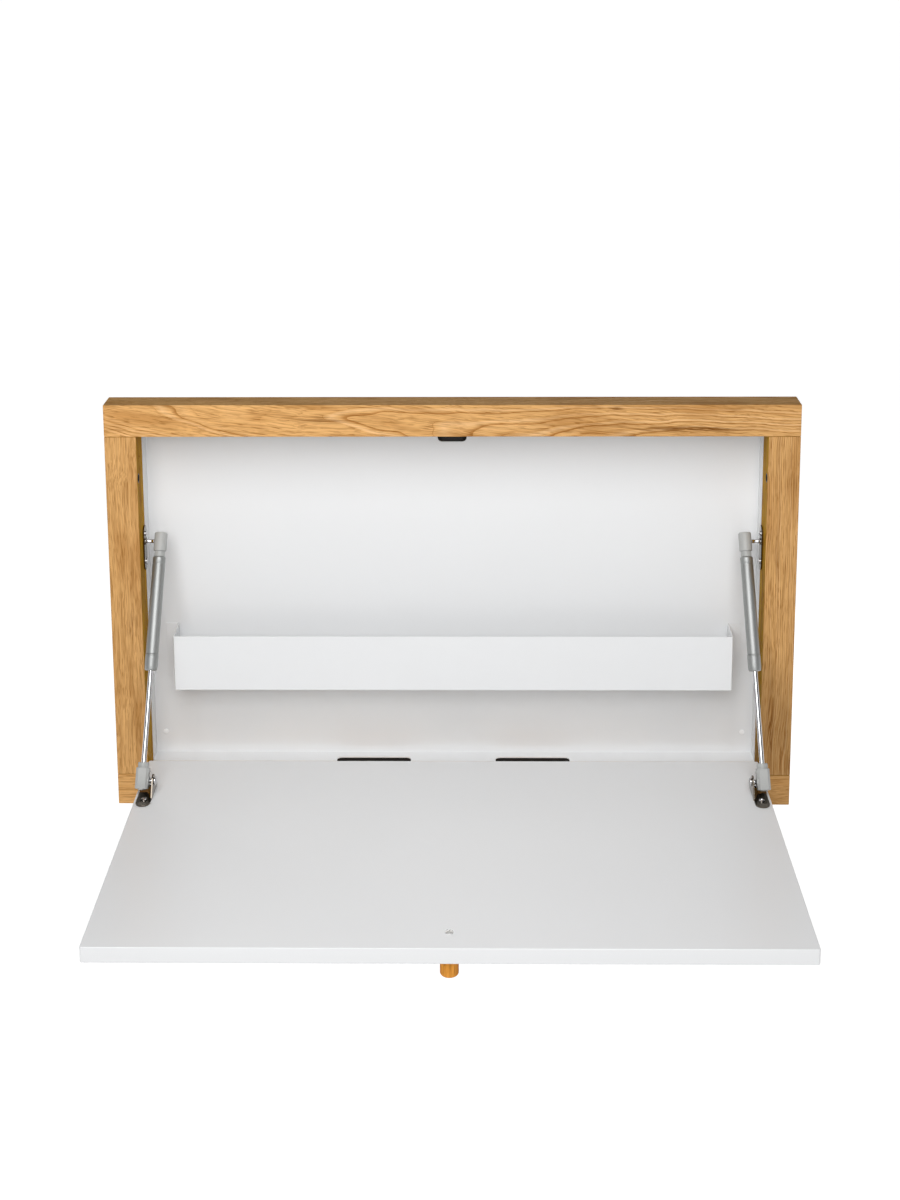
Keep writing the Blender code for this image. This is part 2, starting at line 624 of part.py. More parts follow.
def lower_bracket(name, side, panel, hinge, chrome):
    """Angle bracket on the panel, its ball stud and its two screws."""
    ball = lower_ball(side)
    outward = "+x" if side > 0 else "-x"
    tab_x = ball.x - side * LOWER_TAB_FROM_BALL
    seat = PANEL_TOP + SEAT_GAP

    half = LOWER_BASE_WIDTH / 2
    front = -LOWER_BASE_AHEAD + half
    corner = 2 * MM
    outline = arc((0, front), half, 180, 360, 10)
    outline += arc((half - corner, LOWER_BASE_BEHIND - corner), corner, 0, 90, 2)
    outline += arc((-half + corner, LOWER_BASE_BEHIND - corner), corner, 90, 180, 2)
    base_x = tab_x + side * (half + BRACKET_SHEET / 4)
    base_at = from_hinge((base_x, ball.y, seat))
    bracket = new_object(f"{name}_lower_bracket", plate_mesh(outline, BRACKET_SHEET), chrome,
                         base_at, parent=hinge)

    foot = BRACKET_SHEET / 4 - LOWER_BALL_ABOVE_PANEL
    outline = [(-LOWER_TAB_AHEAD, foot), (LOWER_TAB_BEHIND, foot)]
    outline += arc((0, 0), LOWER_TAB_TOP_RADIUS, 20, 160, 8)
    bm = plate_mesh(outline, BRACKET_SHEET)
    upright = Matrix(((0, 0, side, 0), (1, 0, 0, 0), (0, 1, 0, 0), (0, 0, 0, 1)))
    bmesh.ops.transform(bm, matrix=upright, verts=bm.verts)
    tab = as_tool(new_object(f"{name}_lower_tab", bm, None, (tab_x, ball.y, ball.z)))
    apply_tool(bracket, tab, "UNION")
    drill(bracket, f"{name}_lower_stud_hole", (tab_x, ball.y, ball.z), outward,
          STUD_RADIUS + SEAT_GAP, BRACKET_SHEET + MM)

    nut_face = -SEAT_GAP - NUT_HEIGHT
    neck = BRACKET_SHEET + SEAT_GAP
    reach = LOWER_TAB_FROM_BALL
    join = math.degrees(math.asin(STUD_NECK_RADIUS / BALL_RADIUS))
    ball_arc = arc((0, reach), BALL_RADIUS, join - 90, 90, BALL_ARC_STEPS)
    profile = [
        (0, nut_face),
        (STUD_HEAD_RADIUS * 0.8, nut_face),
        (STUD_HEAD_RADIUS, nut_face + NUT_HEIGHT * 0.4),
        (STUD_HEAD_RADIUS, -SEAT_GAP),
        (STUD_RADIUS, -SEAT_GAP),
        (STUD_RADIUS, neck),
        (STUD_COLLAR_RADIUS, neck),
        (STUD_COLLAR_RADIUS, neck + MM),
        (STUD_NECK_RADIUS, neck + 2 * MM),
    ]
    profile += ball_arc[:-1]
    profile.append((0, reach + BALL_RADIUS))
    turned(f"{name}_lower_stud", profile, chrome, from_hinge((tab_x, ball.y, ball.z)), outward,
           parent=hinge)

    for label, offset in (("front", -LOWER_SCREW_AHEAD), ("rear", LOWER_SCREW_BEHIND)):
        place = Vector((base_x, ball.y + offset, seat + BRACKET_SHEET + SEAT_GAP))
        turned(f"{name}_lower_screw_{label}", bracket_screw_profile(), chrome, from_hinge(place),
               "+z", parent=hinge, facets=SCREW_FACETS)
        hole = f"{name}_lower_{label}_hole"
        screw_hole(bracket, hole, place, "-z", BRACKET_SHEET + 2 * MM)
        screw_hole(panel, hole, place, "-z", SCREW_LENGTH + SEAT_GAP)


def drop_panel(lacquer, hinge):
    """The writing panel, which closes the opening."""
    centre, size = span((-PANEL_HALF, PANEL_FREE_EDGE, PANEL_UNDERSIDE),
                        (PANEL_HALF, PANEL_REAR, PANEL_TOP))
    bm = block_mesh(size, PANEL_EDGE_ROUND, 2, PANEL_CORNER)
    return new_object("drop_panel", bm, lacquer, from_hinge(centre), parent=hinge)


def butt_hinge(name, middle, rail, panel, hinge, steel):
    """Rail leaf, panel leaf and pin, let into the rail and the panel's edge."""
    half = HINGE_LENGTH / 2
    axis = Vector((middle, HINGE_AXIS.y, HINGE_AXIS.z))
    drop = HINGE_GAP / 2
    ends = half * (1 - 2 * KNUCKLE_SHARE)
    outer = ((-half + SEAT_GAP, -ends), (ends, half - SEAT_GAP))
    inner = ((-ends + SEAT_GAP, ends - SEAT_GAP),)
    outer_room = ((-half - MM, -ends), (ends, half + MM))
    inner_room = ((-ends, ends),)

    bore = knuckle_tool(f"{name}_pin_bore", axis, HINGE_PIN_RADIUS + SEAT_GAP, -half - MM, half + MM)
    relief = knuckle_tool(f"{name}_knuckle_relief", axis, KNUCKLE_RADIUS + KNUCKLE_CLEARANCE,
                          -half - SEAT_GAP, half + SEAT_GAP)

    rail_low = axis + Vector((-half, -LEAF_CURL, -drop - LEAF_SHEET))
    rail_high = axis + Vector((half, LEAF_WIDTH, -drop))
    centre, size = span(rail_low, rail_high)
    leaf = new_object(f"{name}_rail_leaf", block_mesh(size), steel, centre)
    knuckles(leaf, f"{name}_rail", axis, outer, inner_room, bore)

    panel_leaf_width = PANEL_THICKNESS - LEAF_SHORT_OF_FACE
    panel_low = axis + Vector((-half, -drop - LEAF_SHEET, -LEAF_CURL))
    panel_high = axis + Vector((half, -drop, panel_leaf_width))
    centre, size = span(panel_low, panel_high)
    leaf = new_object(f"{name}_panel_leaf", block_mesh(size), steel, from_hinge(centre), parent=hinge)
    knuckles(leaf, f"{name}_panel", axis, inner, outer_room, bore)

    pin_half = half - SEAT_GAP
    chamfer = HINGE_PIN_RADIUS / 4
    profile = [
        (0, -pin_half),
        (HINGE_PIN_RADIUS - chamfer, -pin_half),
        (HINGE_PIN_RADIUS, -pin_half + chamfer),
        (HINGE_PIN_RADIUS, pin_half - chamfer),
        (HINGE_PIN_RADIUS - chamfer, pin_half),
        (0, pin_half),
    ]
    turned(f"{name}_hinge_pin", profile, steel, axis, "+x")

    room = Vector((SEAT_GAP, SEAT_GAP, SEAT_GAP))
    past = 2 * MM
    block_cut((rail,), f"{name}_rail_mortise", rail_low - room - Vector((0, past, 0)),
              rail_high + room + Vector((0, 0, past)))
    block_cut((panel,), f"{name}_panel_mortise", panel_low - room - Vector((0, 0, past)),
              panel_high + room + Vector((0, past, 0)))
    apply_tool(rail, relief)
    apply_tool(panel, relief)


def knuckle_tool(name, axis, radius, start, end):
    """A cylinder along the hinge line."""
    profile = [(0, start), (radius, start), (radius, end), (0, end)]
    bm = turned_mesh(profile, FITTING_FACETS)
    return as_tool(new_object(name, bm, None, axis, AIM["+x"]))


def knuckles(leaf, name, axis, own, other, bore):
    """Add a leaf's own knuckles, clear the other leaf's, and bore for the pin."""
    for count, (start, end) in enumerate(own):
        tool = knuckle_tool(f"{name}_knuckle_{count}", axis, KNUCKLE_RADIUS, start, end)
        apply_tool(leaf, tool, "UNION")
    for count, (start, end) in enumerate(other):
        tool = knuckle_tool(f"{name}_gap_{count}", axis, KNUCKLE_RADIUS + SEAT_GAP, start, end)
        apply_tool(leaf, tool)
    apply_tool(leaf, bore)


def knob(oak, steel, panel, hinge):
    """Turned knob under the open panel, held by a screw from the writing side."""
    place = Vector((0, PANEL_FREE_EDGE + KNOB_FROM_FREE_EDGE, PANEL_UNDERSIDE))
    bore = KNOB_SCREW_RADIUS + SEAT_GAP
    bore_end = KNOB_SCREW_BITE + SEAT_GAP
    rounding = arc((KNOB_RADIUS - KNOB_ROUND, KNOB_LENGTH - KNOB_ROUND), KNOB_ROUND, 0, 75, 4)
    profile = [(0, bore_end), (bore, bore_end), (bore, SEAT_GAP), (KNOB_RADIUS - MM, SEAT_GAP),
               (KNOB_RADIUS, SEAT_GAP + MM)]
    profile += rounding
    profile.append((0, KNOB_LENGTH + KNOB_CROWN))
    turned("knob", profile, oak, from_hinge(place), "-z", parent=hinge, facets=STRUT_FACETS)

    head = KNOB_SCREW_HEAD_HEIGHT
    length = PANEL_THICKNESS + SEAT_GAP + KNOB_SCREW_BITE
    screw = [
        (0, -length),
        (KNOB_SCREW_RADIUS, -length + MM),
        (KNOB_SCREW_RADIUS, 0),
        (KNOB_SCREW_HEAD_RADIUS, 0),
        (KNOB_SCREW_HEAD_RADIUS, head * 0.4),
        (KNOB_SCREW_HEAD_RADIUS * 0.65, head * 0.9),
        (0, head),
    ]
    seat = Vector((0, place.y, PANEL_TOP + SEAT_GAP))
    turned("knob_screw", screw, steel, from_hinge(seat), "+z", parent=hinge)
    drill(panel, "knob_screw_hole", seat, "-z", bore, PANEL_THICKNESS + 3 * MM)


def ball_catch(name, side, panel, stile, hinge, chrome):
    """Housing and ball in the panel's side edge, and the strike cup in the stile."""
    outward = "+x" if side > 0 else "-x"
    edge = Vector((side * PANEL_HALF, CATCH_Y, CATCH_Z))
    inner = CATCH_BALL_RADIUS + SEAT_GAP
    outer = inner + CATCH_HOUSING_WALL
    sunk = CATCH_BALL_RADIUS - CATCH_PROJECTION
    mouth = math.sqrt(CATCH_BALL_RADIUS ** 2 - sunk ** 2) + SEAT_GAP
    shoulder = math.sqrt(CATCH_BALL_RADIUS ** 2 - (sunk - CATCH_LIP) ** 2) + SEAT_GAP
    floor = -CATCH_HOUSING_LENGTH + 2 * MM
    profile = [
        (0, -CATCH_HOUSING_LENGTH),
        (outer, -CATCH_HOUSING_LENGTH),
        (outer, 0),
        (mouth, 0),
        (shoulder, -CATCH_LIP),
        (inner, -CATCH_LIP - MM),
        (inner, floor),
        (0, floor),
    ]
    turned(f"{name}_catch_housing", profile, chrome, from_hinge(edge), outward, parent=hinge)
    drill(panel, f"{name}_catch_bore", edge, "-x" if side > 0 else "+x", outer + SEAT_GAP,
          CATCH_HOUSING_LENGTH + SEAT_GAP)

    centre = from_hinge(edge - Vector((side * sunk, 0, 0)))
    pivot = new_pivot(f"{name}_catch_slide", centre, hinge)
    ball = [(0, -CATCH_BALL_RADIUS)]
    ball += arc((0, 0), CATCH_BALL_RADIUS, -75, 75, 2 * BALL_ARC_STEPS - 2)
    ball.append((0, CATCH_BALL_RADIUS))
    turned(f"{name}_catch_ball", ball, chrome, (0, 0, 0), outward, parent=pivot)

    wall = Vector((side * OPENING_HALF, FRONT + PANEL_THICKNESS / 2,
                   HINGE_AXIS.z + (HINGE_AXIS.y - CATCH_Y)))
    strike = [
        (0, -STRIKE_LENGTH),
        (STRIKE_RADIUS, -STRIKE_LENGTH),
        (STRIKE_RADIUS, 0),
        (STRIKE_MOUTH_RADIUS, 0),
        (STRIKE_MOUTH_RADIUS * 0.75, -STRIKE_RECESS),
        (0, -STRIKE_RECESS),
    ]
    turned(f"{name}_catch_strike", strike, chrome, wall, "-x" if side > 0 else "+x")
    drill(stile, f"{name}_strike_bore", wall, outward, STRIKE_RADIUS + SEAT_GAP,
          STRIKE_LENGTH + SEAT_GAP)


def strut_frames(side, hinge):
    """Pivots of one strut, +Z from the lower ball to the upper, +X inboard."""
    lower = lower_ball(side)
    line = upper_ball(side) - lower
    up = line.normalized()
    inboard = Vector((-side, 0, 0))
    inboard = (inboard - inboard.dot(up) * up).normalized()
    turn = Matrix((inboard, up.cross(inboard), up)).transposed().to_euler()
    name = "right" if side > 0 else "left"
    rod_pivot = new_pivot(f"{name}_rod_pivot", from_hinge(lower), hinge, turn)
    tube_slide = new_pivot(f"{name}_tube_slide", (0, 0, line.length), rod_pivot)
    return rod_pivot, tube_slide


def lower_socket(name, rod_pivot, plastic):
    """Squarish end fitting: cup for the lower ball, bore for the rod."""
    width = 2 * SOCKET_HALF_WIDTH
    centre, size = span((-width / 2, -width / 2, -SOCKET_FOOT), (width / 2, width / 2, LOWER_SOCKET_TOP))
    bm = block_mesh(size, SOCKET_EDGE_ROUND, 2, SOCKET_CORNER, 1)
    bmesh.ops.translate(bm, vec=centre, verts=bm.verts)
    socket = new_object(f"{name}_rod_socket", bm, plastic, parent=rod_pivot)

    def tool(label, profile, turn=(0, 0, 0), facets=STRUT_FACETS):
        bm_tool = turned_mesh(profile, facets)
        return as_tool(new_object(f"{name}_{label}", bm_tool, None, (0, 0, 0), turn, rod_pivot))

    overlap = 3 * MM
    collar = [
        (0, LOWER_SOCKET_TOP - overlap),
        (LOWER_COLLAR_RADIUS, LOWER_SOCKET_TOP - overlap),
        (LOWER_COLLAR_RADIUS, LOWER_COLLAR_TOP - MM),
        (LOWER_COLLAR_RADIUS - MM, LOWER_COLLAR_TOP),
        (0, LOWER_COLLAR_TOP),
    ]
    apply_tool(socket, tool("socket_collar", collar), "UNION")
    bore = ROD_RADIUS + SEAT_GAP
    foot = BALL_RADIUS + 4 * MM
    rod_bore = [(0, foot), (bore, foot), (bore, LOWER_COLLAR_TOP + MM), (0, LOWER_COLLAR_TOP + MM)]
    apply_tool(socket, tool("socket_rod_bore", rod_bore))
    cup_radius = BALL_RADIUS + SEAT_GAP
    cup = [(0, -cup_radius)]
    cup += arc((0, 0), cup_radius, -70, 50, 2 * BALL_ARC_STEPS)
    cup += [(SOCKET_MOUTH_RADIUS, SOCKET_HALF_WIDTH + MM), (0, SOCKET_HALF_WIDTH + MM)]
    apply_tool(socket, tool("socket_cup", cup, AIM["+x"], FITTING_FACETS))
    return foot


def upper_socket(name, tube_slide, plastic):
    """Round end fitting with a flat towards the stud, above a ribbed neck."""
    bore = TUBE_PIN_RADIUS + SEAT_GAP
    neck_end = -UPPER_NECK_END + SEAT_GAP
    bore_top = -UPPER_NECK_END + TUBE_PIN_LENGTH + SEAT_GAP * 2
    head = UPPER_SOCKET_HEAD - SOCKET_ROUND
    profile = [
        (0, bore_top),
        (bore, bore_top),
        (bore, neck_end),
        (UPPER_NECK_RADIUS, neck_end),
        (UPPER_NECK_RADIUS, -UPPER_SOCKET_SKIRT),
        (UPPER_SOCKET_RADIUS - 0.4 * MM, -UPPER_SOCKET_SKIRT),
        (UPPER_SOCKET_RADIUS, -UPPER_SOCKET_SKIRT + 0.6 * MM),
    ]
    profile += arc((UPPER_SOCKET_RADIUS - SOCKET_ROUND, head), SOCKET_ROUND, 0, 90, 3)
    profile.append((0, UPPER_SOCKET_HEAD))
    socket = smooth(new_object(f"{name}_tube_socket", turned_mesh(profile, STRUT_FACETS), plastic,
                               parent=tube_slide))
    far = 2 * UPPER_SOCKET_RADIUS
    centre, size = span((-UPPER_FLAT_FROM_AXIS - far, -far, -far), (-UPPER_FLAT_FROM_AXIS, far, far))
    bm = block_mesh(size)
    bmesh.ops.translate(bm, vec=centre, verts=bm.verts)
    apply_tool(socket, as_tool(new_object(f"{name}_socket_flat", bm, parent=tube_slide)))


def gas_strut(name, side, hinge, chrome, silver, plastic):
    """Rod, piston and lower socket; tube, sleeve and upper socket."""
    rod_pivot, tube_slide = strut_frames(side, hinge)
    length = (upper_ball(side) - lower_ball(side)).length
    rod_foot = lower_socket(name, rod_pivot, plastic) + SEAT_GAP
    upper_socket(name, tube_slide, plastic)

    tube_top = length - UPPER_NECK_END
    sleeve_foot = tube_top - STRUT_BODY_LENGTH
    sleeve_top = sleeve_foot + SLEEVE_LENGTH
    tube_foot = sleeve_top + SEAT_GAP
    spigot_top = sleeve_top + SLEEVE_SPIGOT
    piston_foot = spigot_top + PISTON_ABOVE_SPIGOT
    piston_top = piston_foot + PISTON_LENGTH
    tube_bore = TUBE_RADIUS - TUBE_WALL

    rod = [
        (0, rod_foot),
        (ROD_RADIUS, rod_foot),
        (ROD_RADIUS, piston_foot - SEAT_GAP),
        (ROD_TIP_RADIUS, piston_foot - SEAT_GAP),
        (ROD_TIP_RADIUS, piston_top + MM),
        (0, piston_top + MM),
    ]
    turned(f"{name}_strut_rod", rod, chrome, (0, 0, 0), "+z", rod_pivot)
    piston = [
        (ROD_TIP_RADIUS + SEAT_GAP, piston_foot),
        (tube_bore - SEAT_GAP, piston_foot),
        (tube_bore - SEAT_GAP, piston_top),
        (ROD_TIP_RADIUS + SEAT_GAP, piston_top),
    ]
    turned(f"{name}_strut_piston", piston, chrome, (0, 0, 0), "+z", rod_pivot)

    down = (0, 0, -length)
    shoulder = 1 * MM
    tube = [
        (0, tube_top - TUBE_END),
        (tube_bore, tube_top - TUBE_END),
        (tube_bore, tube_foot),
        (TUBE_RADIUS, tube_foot),
        (TUBE_RADIUS, tube_top - shoulder),
        (TUBE_RADIUS - shoulder, tube_top),
        (TUBE_PIN_RADIUS, tube_top),
        (TUBE_PIN_RADIUS, tube_top + TUBE_PIN_LENGTH),
        (0, tube_top + TUBE_PIN_LENGTH),
    ]
    turned(f"{name}_strut_tube", tube, silver, down, "+z", tube_slide, STRUT_FACETS)
    rod_guide = ROD_RADIUS + SEAT_GAP
    sleeve = [
        (rod_guide, sleeve_foot),
        (SLEEVE_RADIUS - shoulder, sleeve_foot),
        (SLEEVE_RADIUS, sleeve_foot + shoulder),
        (SLEEVE_RADIUS, sleeve_top),
        (tube_bore - SEAT_GAP, sleeve_top),
        (tube_bore - SEAT_GAP, spigot_top),
        (rod_guide, spigot_top),
    ]
    turned(f"{name}_strut_sleeve", sleeve, silver, down, "+z", tube_slide, STRUT_FACETS)


def build_desk():
    """Make every piece of the desk."""
    oak = new_material("oiled_oak", (0.58, 0.33, 0.13), 0.55)
    beech = new_material("beech_dowel", (0.62, 0.45, 0.28), 0.7)
    white = new_material("white_powder_coat", (0.80, 0.80, 0.80), 0.35)
    lacquer = new_material("white_lacquer", (0.80, 0.80, 0.80), 0.35)
    cap_white = new_material("white_plastic", (0.78, 0.78, 0.78), 0.4)
    chrome = new_material("chrome_plate", (0.55, 0.55, 0.55), 0.15, 1.0)
    zinc = new_material("zinc_plate", (0.45, 0.45, 0.46), 0.35, 1.0)
    black = new_material("blackened_steel", (0.03, 0.03, 0.03), 0.5, 0.5)
    silver = new_material("silver_lacquer", (0.50, 0.51, 0.52), 0.4, 0.6)
    grey = new_material("grey_plastic", (0.37, 0.37, 0.37), 0.5)

    frame = oak_frame(oak, beech)
    pan = back_pan(white)
    cable_slots(pan, frame["bottom"])
    wall_hook(pan, black)
    screw_caps(pan, cap_white)
    pen_tray(white)

    hinge = new_pivot("panel_hinge", HINGE_AXIS)
    panel = drop_panel(lacquer, hinge)
    for name, middle in hinge_stations():
        butt_hinge(name, middle, frame["bottom"], panel, hinge, zinc)
    knob(oak, chrome, panel, hinge)
    for name, side in SIDES:
        ball_catch(name, side, panel, frame[name], hinge, chrome)
        upper_bracket(name, side, frame[name], chrome)
        lower_bracket(name, side, panel, hinge, chrome)
        gas_strut(name, side, hinge, chrome, silver, grey)


for leftover in list(bpy.data.objects):
    bpy.data.objects.remove(leftover, do_unlink=True)
build_desk()
bpy.context.view_layer.update()
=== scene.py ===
# %% [markdown]
# # A wall-mounted secretary desk
# The desk is an oak frame that hangs on a wall. A folded steel pan closes its back, and a
# white panel drops down in front as a writing surface, held level by two gas struts.
# The engineering model is loaded first, as a fixed frame. Each step below then gives one
# kind of piece its finish or its fine shape, and lets it ride on the body it belongs to.

import json
import math

import bmesh
import bpy
from mathutils import Matrix, Vector

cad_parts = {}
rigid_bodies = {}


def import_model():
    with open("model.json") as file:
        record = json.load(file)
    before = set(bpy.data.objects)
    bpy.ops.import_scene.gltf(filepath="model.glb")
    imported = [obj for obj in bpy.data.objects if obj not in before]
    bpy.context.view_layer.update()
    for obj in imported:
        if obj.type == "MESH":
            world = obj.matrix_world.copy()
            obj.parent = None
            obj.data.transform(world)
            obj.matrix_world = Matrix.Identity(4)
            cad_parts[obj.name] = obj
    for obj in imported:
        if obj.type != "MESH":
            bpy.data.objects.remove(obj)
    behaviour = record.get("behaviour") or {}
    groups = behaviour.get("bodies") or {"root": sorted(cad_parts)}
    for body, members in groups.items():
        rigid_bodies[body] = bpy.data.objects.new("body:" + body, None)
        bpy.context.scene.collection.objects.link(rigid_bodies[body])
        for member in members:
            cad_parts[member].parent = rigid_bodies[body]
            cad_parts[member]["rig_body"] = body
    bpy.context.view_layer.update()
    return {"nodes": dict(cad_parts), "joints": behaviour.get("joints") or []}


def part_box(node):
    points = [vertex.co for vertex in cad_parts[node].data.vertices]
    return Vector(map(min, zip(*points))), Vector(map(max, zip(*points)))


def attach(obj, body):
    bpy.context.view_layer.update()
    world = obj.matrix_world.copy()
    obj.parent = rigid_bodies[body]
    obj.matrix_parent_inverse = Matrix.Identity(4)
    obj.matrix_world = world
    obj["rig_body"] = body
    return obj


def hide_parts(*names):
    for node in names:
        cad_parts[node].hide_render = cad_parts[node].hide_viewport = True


MM = 0.001
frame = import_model()
SIDES = {"left": -1, "right": 1}

# %% [markdown]
# ## Where the camera stands
# A product picture of a desk like this is taken from a little above its top rail, so that
# the inside and the writing surface both show. The camera is tipped down by less than the
# desk needs, and the lens is shifted down to frame the rest. This keeps the uprights
# nearly parallel, which is what an architect's shift lens is for.

# %% Camera
CAMERA_AT = Vector((0.0251, -2.2834, 0.8534))
CAMERA_TURN = math.radians(-0.87)
CAMERA_TIP = math.radians(11.15)
CAMERA_ROLL = math.radians(-0.28)
FOCAL_LENGTH = 56.49
FILM_HEIGHT = 36
SHIFT_ASIDE = 0.0052
SHIFT_DOWN = -0.267
FAR = 2000

flat = math.cos(CAMERA_TIP)
ahead = Vector((math.sin(CAMERA_TURN) * flat, math.cos(CAMERA_TURN) * flat, -math.sin(CAMERA_TIP)))
level = Vector((math.cos(CAMERA_TURN), -math.sin(CAMERA_TURN), 0))
above = level.cross(ahead)
camera_x = math.cos(CAMERA_ROLL) * level + math.sin(CAMERA_ROLL) * above
camera_y = math.cos(CAMERA_ROLL) * above - math.sin(CAMERA_ROLL) * level
lens = bpy.data.cameras.new("studio_camera")
lens.lens = FOCAL_LENGTH
lens.sensor_width = FILM_HEIGHT
lens.shift_x = SHIFT_ASIDE
lens.shift_y = SHIFT_DOWN
lens.clip_end = FAR
camera = bpy.data.objects.new("studio_camera", lens)
bpy.context.scene.collection.objects.link(camera)
facing = Matrix((camera_x, camera_y, -ahead)).transposed().to_4x4()
camera.matrix_world = Matrix.Translation(CAMERA_AT) @ facing
bpy.context.scene.camera = camera
print("camera:", [round(c, 3) for c in CAMERA_AT], "lens", lens.lens, "mm")

# %% [markdown]
# ## Colours, nodes and finishes
# Paint and wood are picked as sRGB hex values, as on a colour card, and Blender computes
# in linear light, so one function turns the first into the second. A finish starts as a
# plain Principled shader. The patterns are then added node by node, with one helper.

# %% Helpers for finishes
def linear(code):
    """An sRGB hex colour as linear red, green, blue and alpha."""
    parts = [int(code[i:i + 2], 16) / 255 for i in (1, 3, 5)]
    return [c / 12.92 if c <= 0.04045 else ((c + 0.055) / 1.055) ** 2.4 for c in parts] + [1.0]


def add_node(tree, kind, values=None, links=None, stops=None, **settings):
    """Add a node with its settings, socket values, colour stops and incoming links."""
    node = tree.nodes.new("ShaderNode" + kind)
    for key, value in settings.items():
        setattr(node, key, value)
    for socket, value in (values or {}).items():
        node.inputs[socket].default_value = value
    for socket, source in (links or {}).items():
        tree.links.new(source, node.inputs[socket])
    if stops:
        ramp = node.color_ramp
        while len(ramp.elements) < len(stops):
            ramp.elements.new(1.0)
        for element, (place, colour) in zip(ramp.elements, stops):
            element.position = place
            element.color = colour if len(colour) == 4 else (*colour, 1.0)
    return node


def new_finish(name, colour, roughness, metallic=0.0, **more):
    """A named Principled finish, and the sockets that more gives by name."""
    finish = bpy.data.materials.new(name)
    finish.use_nodes = True
    shader = finish.node_tree.nodes["Principled BSDF"]
    values = {"Base Color": linear(colour), "Roughness": roughness, "Metallic": metallic}
    values.update({key.replace("_", " "): value for key, value in more.items()})
    for socket, value in values.items():
        shader.inputs[socket].default_value = value
    finish.diffuse_color = linear(colour)
    return finish, finish.node_tree, shader


def grey(level):
    """A neutral stop for a ramp that is used as a mask."""
    return (level, level, level)


print("mid grey #808080 is", round(linear("#808080")[0], 3), "in linear light")


# %% [markdown]
# ## Oak, planed and oiled
# European oak is ring-porous. Each year it lays down a band of open pores and then a band
# of dense wood, so a sawn face shows coarse brown lines and smooth honey-coloured ones.
# A bar sawn near the heart cuts the rings at a slant and shows pointed arches. The
# pattern here is a solid one, as in the tree: rings round a heart line that lies beside
# the bar and narrows towards one end. Faces, edges and end grain then match by themselves.

# %% Oak colours
OAK_LIGHT = "#EABD88"
OAK_HONEY = "#DAA86B"
OAK_BROWN = "#A0662C"
OAK_PORE = "#8A5A28"
OAK_KNOT = "#6E4218"


def times(tree, first, second):
    """Two colours multiplied."""
    product = add_node(tree, "Mix", {0: 1.0}, {6: first, 7: second}, data_type="RGBA", blend_type="MULTIPLY")
    return product.outputs[2]


print("oak from light to dark:", OAK_LIGHT, OAK_HONEY, OAK_BROWN, OAK_PORE, OAK_KNOT)

# %% [markdown]
# ### The years
# The distance from the heart line, less a little for the taper, is divided by the width
# of a year. The whole part of the answer counts the years, and the rest is how far a year
# has come. A slow noise bends the trunk first, or the arches would come out as ruled
# lines. Some years are strong and others hardly show, which a random number per year says.

# %% Years of growth
BENDS_PER_METRE = (4.2, 12, 12)  # About 240 mm long and 80 mm wide.
BEND_DEPTH = 26 * MM

# A year starts sharply with its dark pores and fades into light, dense wood.
YEAR_TONES = [(0.0, OAK_BROWN), (0.07, OAK_BROWN), (0.26, OAK_HONEY),
              (0.62, OAK_LIGHT), (0.96, OAK_HONEY), (1.0, OAK_BROWN)]


def grown(tree, laid, ring, taper):
    """The bent coordinates in the trunk, and the season and the number of the year there."""
    slow = add_node(tree, "Mapping", {"Scale": BENDS_PER_METRE}, {"Vector": laid}).outputs[0]
    bend = add_node(tree, "TexNoise", {"Scale": 1.0, "Detail": 3.0}, {"Vector": slow}).outputs["Color"]
    centred = add_node(tree, "VectorMath", {1: (0.5, 0.5, 0.5)}, {0: bend}, operation="SUBTRACT").outputs[0]
    scaled = add_node(tree, "VectorMath", {1: (0, BEND_DEPTH, BEND_DEPTH)}, {0: centred},
                      operation="MULTIPLY").outputs[0]
    bent = add_node(tree, "VectorMath", None, {0: laid, 1: scaled}, operation="ADD").outputs[0]
    across = add_node(tree, "VectorMath", {1: (0, 1, 1)}, {0: bent}, operation="MULTIPLY").outputs[0]
    radius = add_node(tree, "VectorMath", None, {0: across}, operation="LENGTH").outputs["Value"]
    along = add_node(tree, "SeparateXYZ", None, {0: bent}).outputs["X"]
    cone = add_node(tree, "Math", {1: taper}, {0: along, 2: radius}, operation="MULTIPLY_ADD").outputs[0]
    years = add_node(tree, "Math", {1: ring}, {0: cone}, operation="DIVIDE").outputs[0]
    season = add_node(tree, "Math", None, {0: years}, operation="FRACT").outputs[0]
    year = add_node(tree, "Math", None, {0: years}, operation="FLOOR").outputs[0]
    return bent, season, year


def ring_colour(tree, season, year, vigour):
    """The colour of the wood through a year, strong in some years and faint in others."""
    stops = [(point, linear(colour)) for point, colour in YEAR_TONES]
    rings = add_node(tree, "ValToRGB", None, {"Fac": season}, stops).outputs["Color"]
    chance = add_node(tree, "TexWhiteNoise", None, {"W": year}, noise_dimensions="1D").outputs["Value"]
    strength = add_node(tree, "MapRange", {1: 0.3, 3: vigour[0], 4: vigour[1]}, {0: chance}).outputs[0]
    figure = add_node(tree, "Mix", {6: linear(OAK_HONEY)}, {0: strength, 7: rings}, data_type="RGBA")
    return figure.outputs[2]


print("a year of oak has", len(YEAR_TONES), "tones")

# %% [markdown]
# ### Tones over the years
# Four tones multiply the rings. Fibres are fine streaks along the grain. Drift is the
# broad change of colour in a board. One end of a bar is darker than the other. And the
# faces that look neither forwards nor back get a darker, more golden tone: this is painted
# shade, since the light falls mostly from the front.

# %% Tones over the years
FIBRES_PER_METRE = (11, 600, 600)  # Streaks 90 mm long and a little under 2 mm wide.
DRIFT_PER_METRE = (9, 60, 60)  # Patches 110 mm long and 17 mm wide.
# Painted shade: the faces that look neither forwards nor back are darker and more golden.
EDGE_SHADE_TONE = (0.79, 0.74, 0.06)


